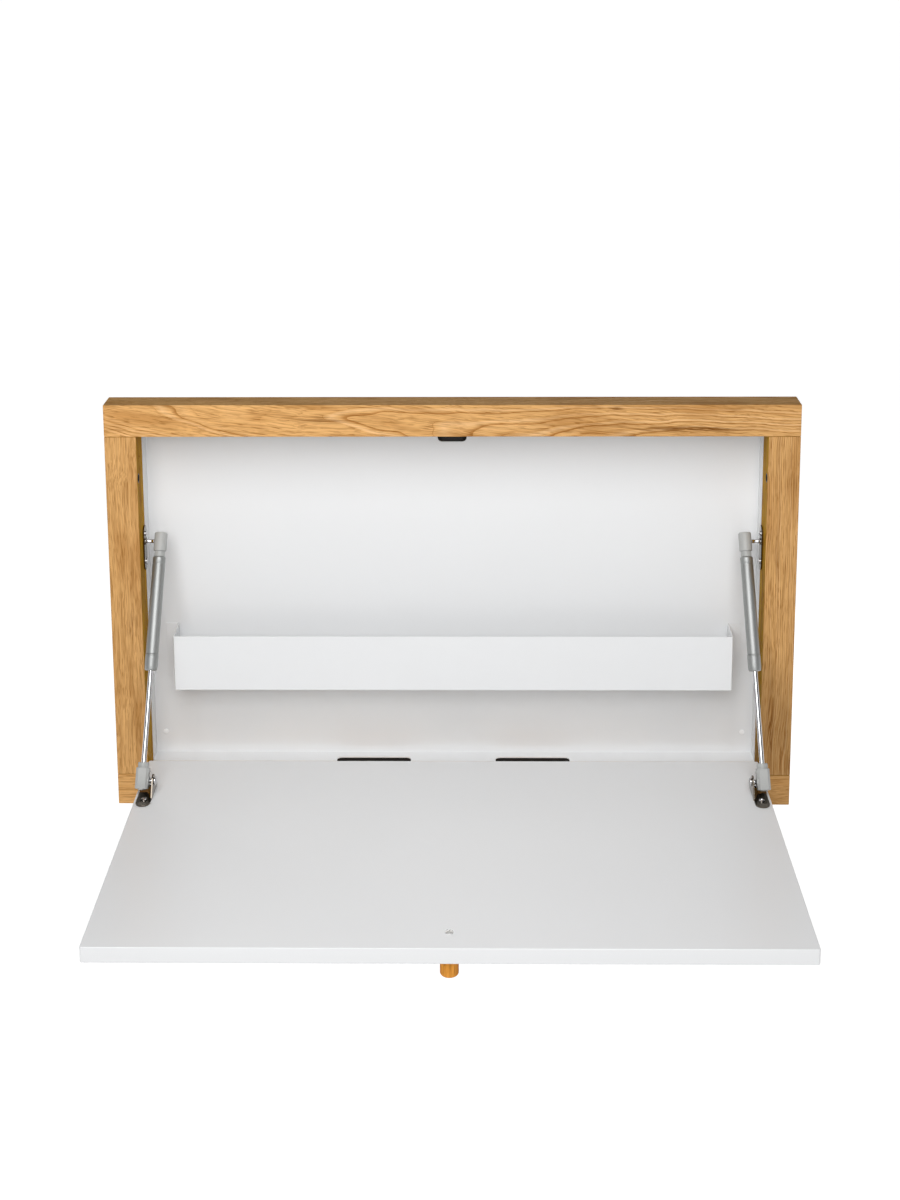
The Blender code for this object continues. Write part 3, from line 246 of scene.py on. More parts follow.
def fibres(tree, bent):
    """Fine streaks along the grain, as a mask and as a tone."""
    fine = add_node(tree, "Mapping", {"Scale": FIBRES_PER_METRE}, {"Vector": bent}).outputs[0]
    mask = add_node(tree, "TexNoise", {"Scale": 1.0, "Detail": 4.0, "Roughness": 0.62},
                    {"Vector": fine}).outputs["Fac"]
    tone = add_node(tree, "ValToRGB", None, {"Fac": mask},
                    [(0.34, (0.70, 0.65, 0.57)), (0.5, grey(0.98)), (0.66, grey(1.10))]).outputs["Color"]
    return mask, tone


def drift(tree, laid):
    """The slow change of colour in a board."""
    broad = add_node(tree, "Mapping", {"Scale": DRIFT_PER_METRE}, {"Vector": laid}).outputs[0]
    patch = add_node(tree, "TexNoise", {"Scale": 1.0, "Detail": 3.0}, {"Vector": broad}).outputs["Fac"]
    tone = add_node(tree, "ValToRGB", None, {"Fac": patch},
                    [(0.32, (0.76, 0.69, 0.60)), (0.52, grey(1.0)), (0.75, (1.05, 1.06, 1.08))])
    return tone.outputs["Color"]


def end_to_end(tree, place, axis, span, lights):
    """A tone that runs from one light to the other between two points of an axis."""
    run = add_node(tree, "SeparateXYZ", None, {0: place}).outputs[axis]
    return add_node(tree, "MapRange", {1: span[0], 2: span[1], 3: lights[0], 4: lights[1]}, {0: run},
                    interpolation_type="SMOOTHSTEP").outputs[0]


def painted_edge_shade(tree, front_tone, edge_shade_tone):
    """One tone on faces that look forwards or back, and a tone of painted shade on the faces between."""
    normal = add_node(tree, "TexCoord").outputs["Normal"]
    facing = add_node(tree, "SeparateXYZ", None, {0: normal}).outputs["Y"]
    size = add_node(tree, "Math", None, {0: facing}, operation="ABSOLUTE").outputs[0]
    edge = add_node(tree, "MapRange", {1: 0.6, 2: 0.3}, {0: size}).outputs[0]
    tone = add_node(tree, "Mix", {6: (*front_tone, 1), 7: (*edge_shade_tone, 1)}, {0: edge}, data_type="RGBA")
    return tone.outputs[2]


print("fibres:", round(1 / (FIBRES_PER_METRE[1] * MM), 1), "mm wide")

# %% [markdown]
# ### Knots and pores
# A pin knot leaves a dark streak that the fibres break up. Pores are short dark dashes,
# thickest in the first wood of a year. Real ones are 0.3 mm wide, and are drawn two or
# three times wider here to be seen.

# %% Knots and pores
PORES_PER_METRE = (60, 1300, 1300)  # Dashes 17 mm long and 0.8 mm wide.


def knot_streaks(tree, wood, place, fibre, marks):
    """The wood's colour with dark streaks, each given by its middle, half sizes and strength."""
    for centre, half_sizes, strength in marks:
        about = add_node(tree, "Mapping", {"Location": centre, "Scale": half_sizes}, {"Vector": place},
                         vector_type="TEXTURE").outputs[0]
        blot = add_node(tree, "TexGradient", None, {"Vector": about},
                        gradient_type="SPHERICAL").outputs["Fac"]
        torn = add_node(tree, "MapRange", {1: 0.62, 2: 0.36}, {0: fibre}).outputs[0]
        share = add_node(tree, "Math", None, {0: blot, 1: torn}, operation="MULTIPLY").outputs[0]
        dark = add_node(tree, "Math", {1: strength}, {0: share}, operation="MULTIPLY", use_clamp=True)
        wood = add_node(tree, "Mix", {7: linear(OAK_KNOT)}, {0: dark.outputs[0], 6: wood}, data_type="RGBA")
        wood = wood.outputs[2]
    return wood


def open_pores(tree, bent, season):
    """A mask of the pores, densest early in a year."""
    dash = add_node(tree, "Mapping", {"Scale": PORES_PER_METRE}, {"Vector": bent}).outputs[0]
    speck = add_node(tree, "TexNoise", {"Scale": 1.0, "Detail": 0.0}, {"Vector": dash}).outputs["Fac"]
    hole = add_node(tree, "MapRange", {1: 0.56, 2: 0.66}, {0: speck}).outputs[0]
    early = add_node(tree, "ValToRGB", None, {"Fac": season},
                     [(0.0, grey(0.85)), (0.3, grey(0.5)), (0.5, grey(0.2)), (1.0, grey(0.4))])
    mask = add_node(tree, "Math", None, {0: hole, 1: early.outputs["Color"]}, operation="MULTIPLY")
    return mask.outputs[0]


print("pores:", round(1 / (PORES_PER_METRE[1] * MM), 1), "mm wide")

# %% [markdown]
# ### The finish
# Oil soaks in and leaves no film, so oiled oak is nearly matt: its gloss is set low, and
# the open pores are duller still. The bump lowers the pores and lifts the fibres by about
# a tenth of a millimetre, which is what a planed face feels like to a fingertip.

# %% Oiled oak
GRAIN_DEPTH = 0.12 * MM


def oiled_oak(name, turn, heart, lights, ring, taper=0.02, vigour=(0.1, 0.5), axis="X", span=(-0.4, 0.4),
              front_tone=(1, 1, 1), edge_shade_tone=EDGE_SHADE_TONE, marks=()):
    """Oak whose grain runs along X after turn, with the tree's heart line at minus heart.

    ring is the width of a year and taper how fast the rings narrow. vigour is the range of
    how strongly a year shows. lights are the tones at the ends of span, read along axis.
    """
    finish, tree, shader = new_finish(name, OAK_HONEY, 0.5, IOR=1.4, Specular_IOR_Level=0.02)
    place = add_node(tree, "TexCoord").outputs["Object"]
    laid = add_node(tree, "Mapping", {"Rotation": turn, "Location": heart}, {"Vector": place}).outputs[0]
    bent, season, year = grown(tree, laid, ring, taper)
    fibre, fibre_tone = fibres(tree, bent)
    wood = ring_colour(tree, season, year, vigour)
    for tone in (fibre_tone, drift(tree, laid), end_to_end(tree, place, axis, span, lights),
                 painted_edge_shade(tree, front_tone, edge_shade_tone)):
        wood = times(tree, wood, tone)
    wood = knot_streaks(tree, wood, place, fibre, marks)
    pores = open_pores(tree, bent, season)
    surface = add_node(tree, "Mix", {7: linear(OAK_PORE)}, {0: pores, 6: wood}, data_type="RGBA").outputs[2]
    tree.links.new(surface, shader.inputs["Base Color"])
    dull = add_node(tree, "MapRange", {3: 0.46, 4: 0.80}, {0: pores}).outputs[0]
    tree.links.new(dull, shader.inputs["Roughness"])
    depth = add_node(tree, "Math", {1: -1.0}, {0: pores, 2: fibre}, operation="MULTIPLY_ADD").outputs[0]
    bump = add_node(tree, "Bump", {"Strength": 0.35, "Distance": GRAIN_DEPTH}, {"Height": depth})
    tree.links.new(bump.outputs[0], shader.inputs["Normal"])
    return finish


# %% [markdown]
# ### One finish for each bar
# Each bar comes from another board, so each has its own heart line, width of year and
# tones. The top rail is sawn near the heart of a tree that tapers fast, and shows the long
# arches. The stiles and the bottom rail are straight-grained, and the right stile darkens
# towards its foot. The knob is turned from a darker, redder piece.

# %% Oak for each bar and for the knob
UPRIGHT = (0, math.radians(90), 0)
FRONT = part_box("frame_top_rail")[0][1]
# Painted shade for the top rail: its top, underside and ends are greyed down.
TOP_EDGE_SHADE_TONE = (0.71, 0.73, 0.70)
TOP_MARKS = [
    ((-0.150, FRONT, 0.2425), (0.050, 0.02, 0.006), 1.3),
    ((0.295, FRONT, 0.2310), (0.080, 0.02, 0.0045), 2.0),
    ((0.200, FRONT, 0.2570), (0.012, 0.01, 0.003), 2.2),
]
RIGHT_MARKS = [
    ((0.398, FRONT, -0.150), (0.0045, 0.02, 0.075), 1.6),
    ((0.412, FRONT, -0.190), (0.0035, 0.02, 0.050), 1.2),
    ((0.400, FRONT, 0.060), (0.004, 0.02, 0.060), 0.7),
]
LEFT_MARKS = [((-0.398, FRONT, -0.020), (0.010, 0.02, 0.022), 0.7)]
oak = {
    "frame_top_rail": oiled_oak(
        "oiled_oak_top_rail", (0, -0.10, 0), (0.027, 0.0188, -0.229), (1.02, 0.90), 2.9 * MM,
        taper=-0.063, vigour=(0.03, 0.95), edge_shade_tone=TOP_EDGE_SHADE_TONE, marks=TOP_MARKS),
    "frame_bottom_rail": oiled_oak(
        "oiled_oak_bottom_rail", (0, 0, 0), (1.7, 0.12, 0.30), (0.97, 0.69), 1.3 * MM,
        vigour=(0.05, 0.35)),
    "frame_left_stile": oiled_oak(
        "oiled_oak_left_stile", UPRIGHT, (3.1, 0.02, 0.47), (0.90, 0.88), 1.3 * MM,
        vigour=(0.05, 0.35), axis="Z", span=(-0.2, 0.2), marks=LEFT_MARKS),
    "frame_right_stile": oiled_oak(
        "oiled_oak_right_stile", UPRIGHT, (5.3, 0.03, -0.34), (0.56, 0.84), 2.6 * MM,
        vigour=(0.10, 0.75), axis="Z", span=(-0.17, -0.02), marks=RIGHT_MARKS),
    # The knob's front tone is its redder wood; its edge shade tone paints shade on its sides and end.
    "knob": oiled_oak(
        "oiled_oak_knob", UPRIGHT, (7.7, 0.455, 0.012), (1.08, 1.08), 2.6 * MM,
        front_tone=(1.12, 0.84, 0.38), edge_shade_tone=(0.74, 0.46, 0.14)),
}
print("oak finishes:", len(oak), "with", len(oak["knob"].node_tree.nodes), "nodes in the knob's")

# %% [markdown]
# ## White powder coat on steel, white lacquer on board
# Powder coat is sprayed on dry and baked until it flows. It sets with a faint orange-peel
# ripple, a few millimetres across, that breaks up reflections. The panel's lacquer is
# sprayed wet and sanded between coats, so it is flatter and a little duller. The screw
# caps are moulded in a whiter plastic. All three are drawn as a light noise in the bump
# and slower ones in the roughness and the tone.

# %% White finishes
def sprayed_white(name, colour, roughness, ripple, ripple_depth):
    """A white coat with its ripple, faint rubbing and faint tone changes."""
    finish, tree, shader = new_finish(name, colour, roughness, IOR=1.5)
    place = add_node(tree, "TexCoord").outputs["Object"]
    cells = add_node(tree, "TexNoise", {"Scale": 1 / ripple, "Detail": 2.0}, {"Vector": place})
    bump = add_node(tree, "Bump", {"Strength": 0.2, "Distance": ripple_depth},
                    {"Height": cells.outputs["Fac"]})
    tree.links.new(bump.outputs[0], shader.inputs["Normal"])
    rubbing = add_node(tree, "TexNoise", {"Scale": 9.0, "Detail": 4.0}, {"Vector": place}).outputs["Fac"]
    gloss = add_node(tree, "MapRange", {3: roughness - 0.012, 4: roughness + 0.012}, {0: rubbing}).outputs[0]
    tree.links.new(gloss, shader.inputs["Roughness"])
    soft = add_node(tree, "TexNoise", {"Scale": 4.0, "Detail": 1.0}, {"Vector": place}).outputs["Fac"]
    tone = add_node(tree, "ValToRGB", None, {"Fac": soft},
                    [(0.3, [c * 0.985 for c in linear(colour)[:3]]), (0.7, linear(colour))]).outputs["Color"]
    tree.links.new(tone, shader.inputs["Base Color"])
    return finish


# Glossy enough to hold soft reflections of the tray and the struts.
powder_coat = sprayed_white("baked_white_powder_coat", "#E8E9EA", 0.20, 3 * MM, 0.05 * MM)
# Satin: the light spreads wide over the writing surface.
lacquer = sprayed_white("white_satin_lacquer", "#EAEBEC", 0.34, 1.5 * MM, 0.02 * MM)
# A cleaner white than the steel round it, so the caps show as pale dots.
cap_white = sprayed_white("moulded_white_plastic", "#FAFAFA", 0.4, 1 * MM, 0.02 * MM)
print("white finishes:", powder_coat.name, lacquer.name, cap_white.name)

# %% [markdown]
# ## Metals, grey plastic and beech
# The rods, studs, brackets and screws are plated: chrome is a mirror that shows faint
# polishing marks, and zinc is greyer and cloudier. The strut tube is steel under silver
# lacquer, so it has a soft, wide highlight. The sockets are moulded acetal, matt with a
# fine spark-eroded grain. Brushing and polishing run along a piece, so each of those
# noises is stretched. One function serves all of them: a single noise changes the tone,
# the gloss and the bump together, as a rubbed or worked patch does on the real thing.

# %% A worked surface
def worked_surface(name, colour, roughness, metallic, scale, spread, depth, **more):
    """A finish whose roughness, tone and bump follow one stretched noise."""
    finish, tree, shader = new_finish(name, colour, roughness, metallic, **more)
    place = add_node(tree, "TexCoord").outputs["Object"]
    drawn = add_node(tree, "Mapping", {"Scale": scale}, {"Vector": place}).outputs[0]
    marks = add_node(tree, "TexNoise", {"Scale": 1.0, "Detail": 3.0}, {"Vector": drawn}).outputs["Fac"]
    gloss = add_node(tree, "MapRange", {3: roughness - spread, 4: roughness + spread}, {0: marks}).outputs[0]
    tree.links.new(gloss, shader.inputs["Roughness"])
    dark = [c * 0.86 for c in linear(colour)[:3]]
    tone = add_node(tree, "ValToRGB", None, {"Fac": marks}, [(0.3, dark), (0.7, linear(colour))])
    tree.links.new(tone.outputs["Color"], shader.inputs["Base Color"])
    bump = add_node(tree, "Bump", {"Strength": 0.15, "Distance": depth}, {"Height": marks})
    tree.links.new(bump.outputs[0], shader.inputs["Normal"])
    return finish


# %% Metal, plastic and beech finishes
ALL_WAYS = (900, 900, 900)  # Marks per metre: 1.1 mm each way.
CLOUDS = (300, 300, 300)  # 3.3 mm each way, like the spangle of zinc.
SPARKS = (2500, 2500, 2500)  # 0.4 mm each way, the grain of an eroded mould.
POLISHED = (700, 700, 40)  # 1.4 mm wide and 25 mm long, along an upright rod.
LENGTHWAYS = (1400, 1400, 60)  # 0.7 mm wide and 17 mm long.

# A mirror: it shows the bright and dark of the room as sharp stripes.
chrome = worked_surface("polished_chrome_plate", "#D4D4D6", 0.07, 1.0, POLISHED, 0.02, 0.002 * MM)
# Chrome over rough pressed steel. Its base colour is darker and warmer: a painted
# reflection of the oak, of itself and of dark surroundings.
painted_reflection_chrome = worked_surface("chrome_with_painted_reflection", "#776F65", 0.09, 1.0, ALL_WAYS, 0.05,
                                0.01 * MM)
# Cloudy grey, with a blurred highlight.
zinc = worked_surface("zinc_plated_steel", "#B4B6BA", 0.34, 1.0, CLOUDS, 0.08, 0.01 * MM)
# Metal flakes in lacquer: a wide, soft band of light down the tube.
silver = worked_surface("silver_lacquered_steel", "#ACAEAD", 0.50, 0.85, LENGTHWAYS, 0.06, 0.02 * MM)
# Matt and even, with a dim highlight on the corners.
acetal = worked_surface("moulded_grey_acetal", "#B3B4B2", 0.44, 0.0, SPARKS, 0.06, 0.02 * MM, IOR=1.48)
# Blue-white zinc, paler than the rest, under a clear film that hides part of the metal.
bright_zinc = worked_surface("bright_zinc_plated_steel", "#F6F6F4", 0.25, 0.6, ALL_WAYS, 0.05, 0.01 * MM)
# Steel coloured near black, with a dull sheen: painted shade on the hook in the hang slot and in the strike
# cups.
shade_black_steel = worked_surface("steel_black_as_painted_shade", "#2A2826", 0.4, 0.6, ALL_WAYS, 0.08, 0.01 * MM)
# Even, pale and dry. The dowels are glued out of sight, so this one has no pattern.
beech, _, _ = new_finish("planed_beech", "#CDAA7F", 0.65)
print("plated:", [m.name for m in (chrome, painted_reflection_chrome, zinc, bright_zinc)])
print("others:", [m.name for m in (silver, acetal, shade_black_steel, beech)])

# %% [markdown]
# ## Keeping or softening what was engineered
# The oak bars, the folded sheets and the brackets already have the right shape. A sheet's
# cut edges and a planed bar's arrises are never knife-sharp, though, and they catch a
# thin line of light. So each is copied and its loose triangles are merged into faces. A small
# bevel softens the edges of all but the oak bars and the panel, which are only shaded
# smooth. The flat faces keep flat shading by their area.

# %% Softened copies
def finished(name, bm, finish, body, stands_for=(), sharp=35):
    """Turn a bmesh into a shown piece that rides on a body."""
    mesh = bpy.data.meshes.new(name)
    bm.to_mesh(mesh)
    bm.free()
    mesh.materials.append(finish)
    mesh.shade_smooth()
    mesh.set_sharp_from_angle(angle=math.radians(sharp))
    piece = bpy.data.objects.new(name, mesh)
    bpy.context.scene.collection.objects.link(piece)
    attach(piece, body)
    if stands_for:
        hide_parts(*stands_for)
    return piece


def body_of(node):
    """The body that a node of the frame belongs to."""
    return frame["nodes"][node]["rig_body"]


def softened(node, finish, width, segments=2, sharp=35):
    """Replace a node by a merged copy of itself with softened edges."""
    bm = bmesh.new()
    bm.from_mesh(frame["nodes"][node].data)
    bmesh.ops.remove_doubles(bm, verts=bm.verts, dist=0.002 * MM)
    bmesh.ops.dissolve_limit(bm, angle_limit=math.radians(0.5), verts=bm.verts, edges=bm.edges)
    piece = finished(node + "_finish", bm, finish, body_of(node), [node], sharp)
    if width:
        edge = piece.modifiers.new("soft_edges", "BEVEL")
        edge.width = width
        edge.segments = segments
        edge.limit_method = "ANGLE"
        edge.angle_limit = math.radians(40)
        edge.use_clamp_overlap = True
    flats = piece.modifiers.new("flat_faces", "WEIGHTED_NORMAL")
    flats.keep_sharp = True
    return piece


soft = []
for node in ("frame_top_rail", "frame_bottom_rail", "frame_left_stile", "frame_right_stile"):
    soft.append(softened(node, oak[node], 0, sharp=50))
for node in ("back_pan", "pen_tray"):
    soft.append(softened(node, powder_coat, 0.35 * MM, sharp=50))
soft.append(softened("drop_panel", lacquer, 0, sharp=50))
# The hook is near black as painted shade, so the hang slot reads dark round it.
soft.append(softened("wall_hook", shade_black_steel, 0.25 * MM))
for side in SIDES:
    soft.append(softened(f"{side}_upper_bracket", painted_reflection_chrome, 0.3 * MM))
    soft.append(softened(f"{side}_lower_bracket", painted_reflection_chrome, 0.3 * MM))
for place in ("left", "centre", "right"):
    soft.append(softened(f"{place}_rail_leaf", zinc, 0.15 * MM))
    soft.append(softened(f"{place}_panel_leaf", zinc, 0.15 * MM))
print("softened copies:", len(soft))

# %% [markdown]
# Dowels, pistons and hinge pins are plain round pins, mostly out of sight. They stay as
# they were engineered and only get their finish.

# %% Finishes for the nodes that stay as they are
KEPT_FINISHES = {"dowel": beech, "piston": zinc, "hinge_pin": zinc}
kept = []
for ending, finish in KEPT_FINISHES.items():
    for name, node in frame["nodes"].items():
        if name.endswith(ending):
            node.data.materials.clear()
            node.data.materials.append(finish)
            kept.append(name)
print("kept as engineered:", len(kept))

# %% [markdown]
# ## Turned pieces
# Knob, rod, tube, studs, caps and catch balls are all turned on a lathe or rolled, so each
# is a profile spun round its axis. The profile is written as radius and height. Spinning
# in a mesh, with merging, closes the piece; its normals are recalculated after that.

# %% Lathe
def spun(profile, facets=48):
    """Spin a profile of (radius, height) in millimetres round Z."""
    bm = bmesh.new()
    verts = [bm.verts.new((radius * MM, 0, height * MM)) for radius, height in profile]
    edges = [bm.edges.new(pair) for pair in zip(verts, verts[1:])]
    if profile[0][0] > 0:
        edges.append(bm.edges.new((verts[-1], verts[0])))
    bmesh.ops.spin(bm, geom=verts + edges, cent=(0, 0, 0), axis=(0, 0, 1),
                   angle=2 * math.pi, steps=facets, use_merge=True)
    bmesh.ops.remove_doubles(bm, verts=bm.verts, dist=0.001 * MM)
    bmesh.ops.recalc_face_normals(bm, faces=bm.faces)
    return bm


def rounding(centre, radius, start, end, steps=4):
    """Profile points on an arc, angles in degrees."""
    angles = [math.radians(start + (end - start) * i / steps) for i in range(steps + 1)]
    return [(centre[0] + radius * math.cos(a), centre[1] + radius * math.sin(a)) for a in angles]


def aimed(at, along, inboard=(1, 0, 0)):
    """A frame at a point, with Z along a direction and X near another."""
    up = Vector(along).normalized()
    across = Vector(inboard)
    if abs(across.normalized().dot(up)) > 0.99:
        across = Vector((0, 1, 0))
    across = (across - across.dot(up) * up).normalized()
    return Matrix.Translation(at) @ Matrix((across, up.cross(across), up)).transposed().to_4x4()


def moved(bm, place):
    """The same bmesh, moved into place."""
    bmesh.ops.transform(bm, matrix=place, verts=bm.verts)
    return bm


def middle(node):
    """Centre of a node's box."""
    low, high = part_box(node)
    return (low + high) / 2


print("middle of the knob, in mm:", [round(c / MM, 1) for c in middle("knob")])

# %% [markdown]
# ## Screws
# Wood screws with a pan head and a cross recess hold the brackets. The head starts as a
# small grid that is rounded off to a disc. The faces of a cross are pushed in for the
# driver, the disc is domed, and its rim is drawn down to the seat. Below it is a plain
# shank, because the thread is inside the wood.

# %% Cross-recessed screw
CROSS_REACH = 0.58  # Of the head's radius.
CROSS_DEPTH = 0.62  # Of the head's height.
DOME_DROP = 0.55  # How far the rim lies below the crown, of the height.


def cross_screw(radius, height, shank, length, cells=9):
    """A domed head with a driver's cross, seat at height 0, and its shank, in millimetres."""
    bm = bmesh.new()
    bmesh.ops.create_grid(bm, x_segments=cells, y_segments=cells, size=1.0)
    for vert in bm.verts:
        x, y = vert.co.x, vert.co.y
        vert.co.x = x * math.sqrt(1 - y * y / 2)
        vert.co.y = y * math.sqrt(1 - x * x / 2)
    half = 1.0 / cells
    recess = []
    for face in bm.faces:
        x, y = (abs(c) for c in face.calc_center_median()[:2])
        if (x < half and y < CROSS_REACH) or (y < half and x < CROSS_REACH):
            recess.append(face)
    rim = [edge for edge in bm.edges if edge.is_boundary]
    for vert in bm.verts:
        vert.co.z = height / radius * (1 - DOME_DROP * (vert.co.x ** 2 + vert.co.y ** 2))
    pushed = bmesh.ops.extrude_face_region(bm, geom=recess)["geom"]
    floor = [item for item in pushed if isinstance(item, bmesh.types.BMVert)]
    bmesh.ops.delete(bm, geom=recess, context="FACES_ONLY")
    bmesh.ops.scale(bm, vec=(0.72, 0.72, 1), verts=floor)
    bmesh.ops.translate(bm, vec=(0, 0, -CROSS_DEPTH * height / radius), verts=floor)
    drawn = bmesh.ops.extrude_edge_only(bm, edges=rim)["geom"]
    seat = [item for item in drawn if isinstance(item, bmesh.types.BMVert)]
    for vert in seat:
        vert.co.z = 0
    rim = [item for item in drawn if isinstance(item, bmesh.types.BMEdge) and item.is_boundary]
    for scale, drop in ((shank / radius, 0), (1, length / radius), (0.1, 0)):
        drawn = bmesh.ops.extrude_edge_only(bm, edges=rim)["geom"]
        ring = [item for item in drawn if isinstance(item, bmesh.types.BMVert)]
        bmesh.ops.scale(bm, vec=(scale, scale, 1), verts=ring)
        bmesh.ops.translate(bm, vec=(0, 0, -drop), verts=ring)
        rim = [item for item in drawn if isinstance(item, bmesh.types.BMEdge) and item.is_boundary]
    bmesh.ops.holes_fill(bm, edges=rim)
    bmesh.ops.scale(bm, vec=(radius * MM, radius * MM, radius * MM), verts=bm.verts)
    bmesh.ops.recalc_face_normals(bm, faces=bm.faces)
    return bm


# %% [markdown]
# Each engineered screw is a plain pin. The detailed one takes its place, with its head
# against the same seat. Every screw is turned by another angle, as a driver leaves them.

# %% Bracket and knob screws
BRACKET_SCREW = (3.6, 1.8, 1.7, 9.5)  # Head radius, head height, shank radius and length in mm.
KNOB_SCREW = (4.5, 2.2, 2.0, 30)


def place_screw(node, along, size, turn, finish=chrome):
    """Replace a screw node by a detailed screw whose head faces along."""
    low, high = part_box(node)
    axis = Vector(along)
    reach = abs((high - low).dot(axis)) / 2
    radius, height, shank, length = size
    seat = middle(node) + axis * (reach - height * MM)
    bm = cross_screw(radius, height, shank, length)
    bmesh.ops.rotate(bm, matrix=Matrix.Rotation(turn, 3, "Z"), verts=bm.verts)
    moved(bm, aimed(seat, axis))
    return finished(node + "_finish", bm, finish, body_of(node), [node])


screws = []
for side, sign in SIDES.items():
    for count, end in enumerate(("top", "low")):
        turn = 0.5 + count
        screws.append(place_screw(f"{side}_upper_screw_{end}", (-sign, 0, 0), BRACKET_SCREW, turn))
    for count, end in enumerate(("front", "rear")):
        turn = 0.3 + 0.9 * count + sign
        screws.append(place_screw(f"{side}_lower_screw_{end}", (0, 0, 1), BRACKET_SCREW, turn))
screws.append(place_screw("knob_screw", (0, 0, 1), KNOB_SCREW, 0.6, bright_zinc))
print("screws:", len(screws), "of", len(screws[0].data.polygons), "faces")

# %% [markdown]
# ## The gas struts
# A strut is a chromed rod that slides into a lacquered tube. A turned sleeve is rolled
# onto the tube's mouth, and moulded sockets snap onto a ball at each end. The lower
# socket rides on the rod, and the upper one on the tube. Both are built along the line
# between the two balls, which is read from the joints.

# %% The line of each strut
joints = {joint["name"]: joint for joint in frame["joints"]}


def strut_line(side):
    """Frame at the lower ball, Z to the upper ball and X inboard, and the length in mm."""
    lower = Vector(joints[f"{side}_rod_pivot"]["pos_m"])
    line = Vector(joints[f"{side}_tube_slide"]["axis"]).normalized()
    upper_y = middle(f"{side}_upper_stud").y
    length = (upper_y - lower.y) / line.y
    return aimed(lower, line, (-SIDES[side], 0, 0)), length / MM


for side in SIDES:
    print(side, "strut:", round(strut_line(side)[1], 1), "mm between its balls")

# %% [markdown]
# The rod is a plain bar. The tube is hollow, with a rounded shoulder at its top and a
# shallow groove below it. The sleeve is a tube over a tube: it swells where it is rolled on
# and has a bead at its rim, which catches the light as a thin ring.

# %% Rod, tube and sleeve
TUBE_TOP = 19.4  # All in mm: from the upper ball down to the tube's end.
BODY_LENGTH = 139.5
SLEEVE_LENGTH = 20.0
ROD_RADIUS = 3
ROD_FOOT = 8.3
TUBE_RADIUS = 7.75
TUBE_BORE = 6.5
GROOVE_RADIUS = 7.5
SLEEVE_RADIUS = 8.1
SLEEVE_BORE = 3.3

for side in SIDES:
    place, length = strut_line(side)
    top = length - TUBE_TOP
    foot = top - BODY_LENGTH
    mouth = foot + SLEEVE_LENGTH
    rod = spun([(0, ROD_FOOT), (ROD_RADIUS, ROD_FOOT), (ROD_RADIUS, mouth + 9), (0, mouth + 9)])
    finished(f"{side}_chromed_rod", moved(rod, place), chrome, f"{side}_rod",
             [f"{side}_strut_rod"])
    wall = [(TUBE_BORE, mouth + 0.3), (TUBE_RADIUS - 0.3, mouth + 0.3), (TUBE_RADIUS, mouth + 0.7)]
    wall += [(TUBE_RADIUS, top - 9.6), (GROOVE_RADIUS, top - 9.0)]
    wall += [(GROOVE_RADIUS, top - 8.2), (TUBE_RADIUS, top - 7.6)]
    wall += rounding((TUBE_RADIUS - 1.4, top - 1.4), 1.4, 0, 90)
    wall += [(2.5, top), (2.5, top - 4), (TUBE_BORE, top - 4)]
    finished(f"{side}_silver_tube", moved(spun(wall, 64), place), silver, f"{side}_tube",
             [f"{side}_strut_tube"])
    sleeve = [(SLEEVE_BORE, foot + 0.6), (3.9, foot), (6.2, foot)]
    sleeve += rounding((6.4, foot + 1.3), 1.3, -90, -8)
    sleeve += [(8.05, foot + 6), (SLEEVE_RADIUS, mouth - 2.0), (7.75, mouth - 1.7), (7.75, mouth - 1.2)]
    sleeve += [(SLEEVE_RADIUS, mouth - 0.9), (SLEEVE_RADIUS, mouth - 0.3), (7.8, mouth)]
    sleeve += [(6.2, mouth), (6.2, mouth + 8), (SLEEVE_BORE, mouth + 8)]
    finished(f"{side}_rolled_sleeve", moved(spun(sleeve, 64), place), silver, f"{side}_tube",
             [f"{side}_strut_sleeve"])
    print(side, "tube:", BODY_LENGTH, "mm, and its mouth", round(mouth, 1), "mm above the lower ball")

# %% [markdown]
# The upper socket is a round cap over a ribbed neck. The cap is spun, with a hollow in its
# end, and a plane then takes off the flat that faces the stud. The ribs start as every
# second face of the neck, pushed outwards. Closed shapes that overlap are simply put in
# one mesh, as a moulding's parts grow out of each other.

# %% Joining and cutting
def joined(*shapes):
    """Several closed shapes as one bmesh."""
    whole = bmesh.new()
    for shape in shapes:
        mesh = bpy.data.meshes.new("joining")
        shape.to_mesh(mesh)
        shape.free()
        whole.from_mesh(mesh)
        bpy.data.meshes.remove(mesh)
    return whole


def cut_flat(bm, at, normal):
    """Take off what lies beyond a plane, and close the cut."""
    geom = bm.verts[:] + bm.edges[:] + bm.faces[:]
    cut = bmesh.ops.bisect_plane(bm, geom=geom, plane_co=at, plane_no=normal, clear_outer=True)
    edges = [item for item in cut["geom_cut"] if isinstance(item, bmesh.types.BMEdge)]
    bmesh.ops.holes_fill(bm, edges=edges)
    return bm


# %% Upper socket
FLAT_OFFSET = 7.6  # All in mm.
RIB_HEIGHT = 0.55
NECK_RADIUS = 5.9
NECK_BORE = 2.8

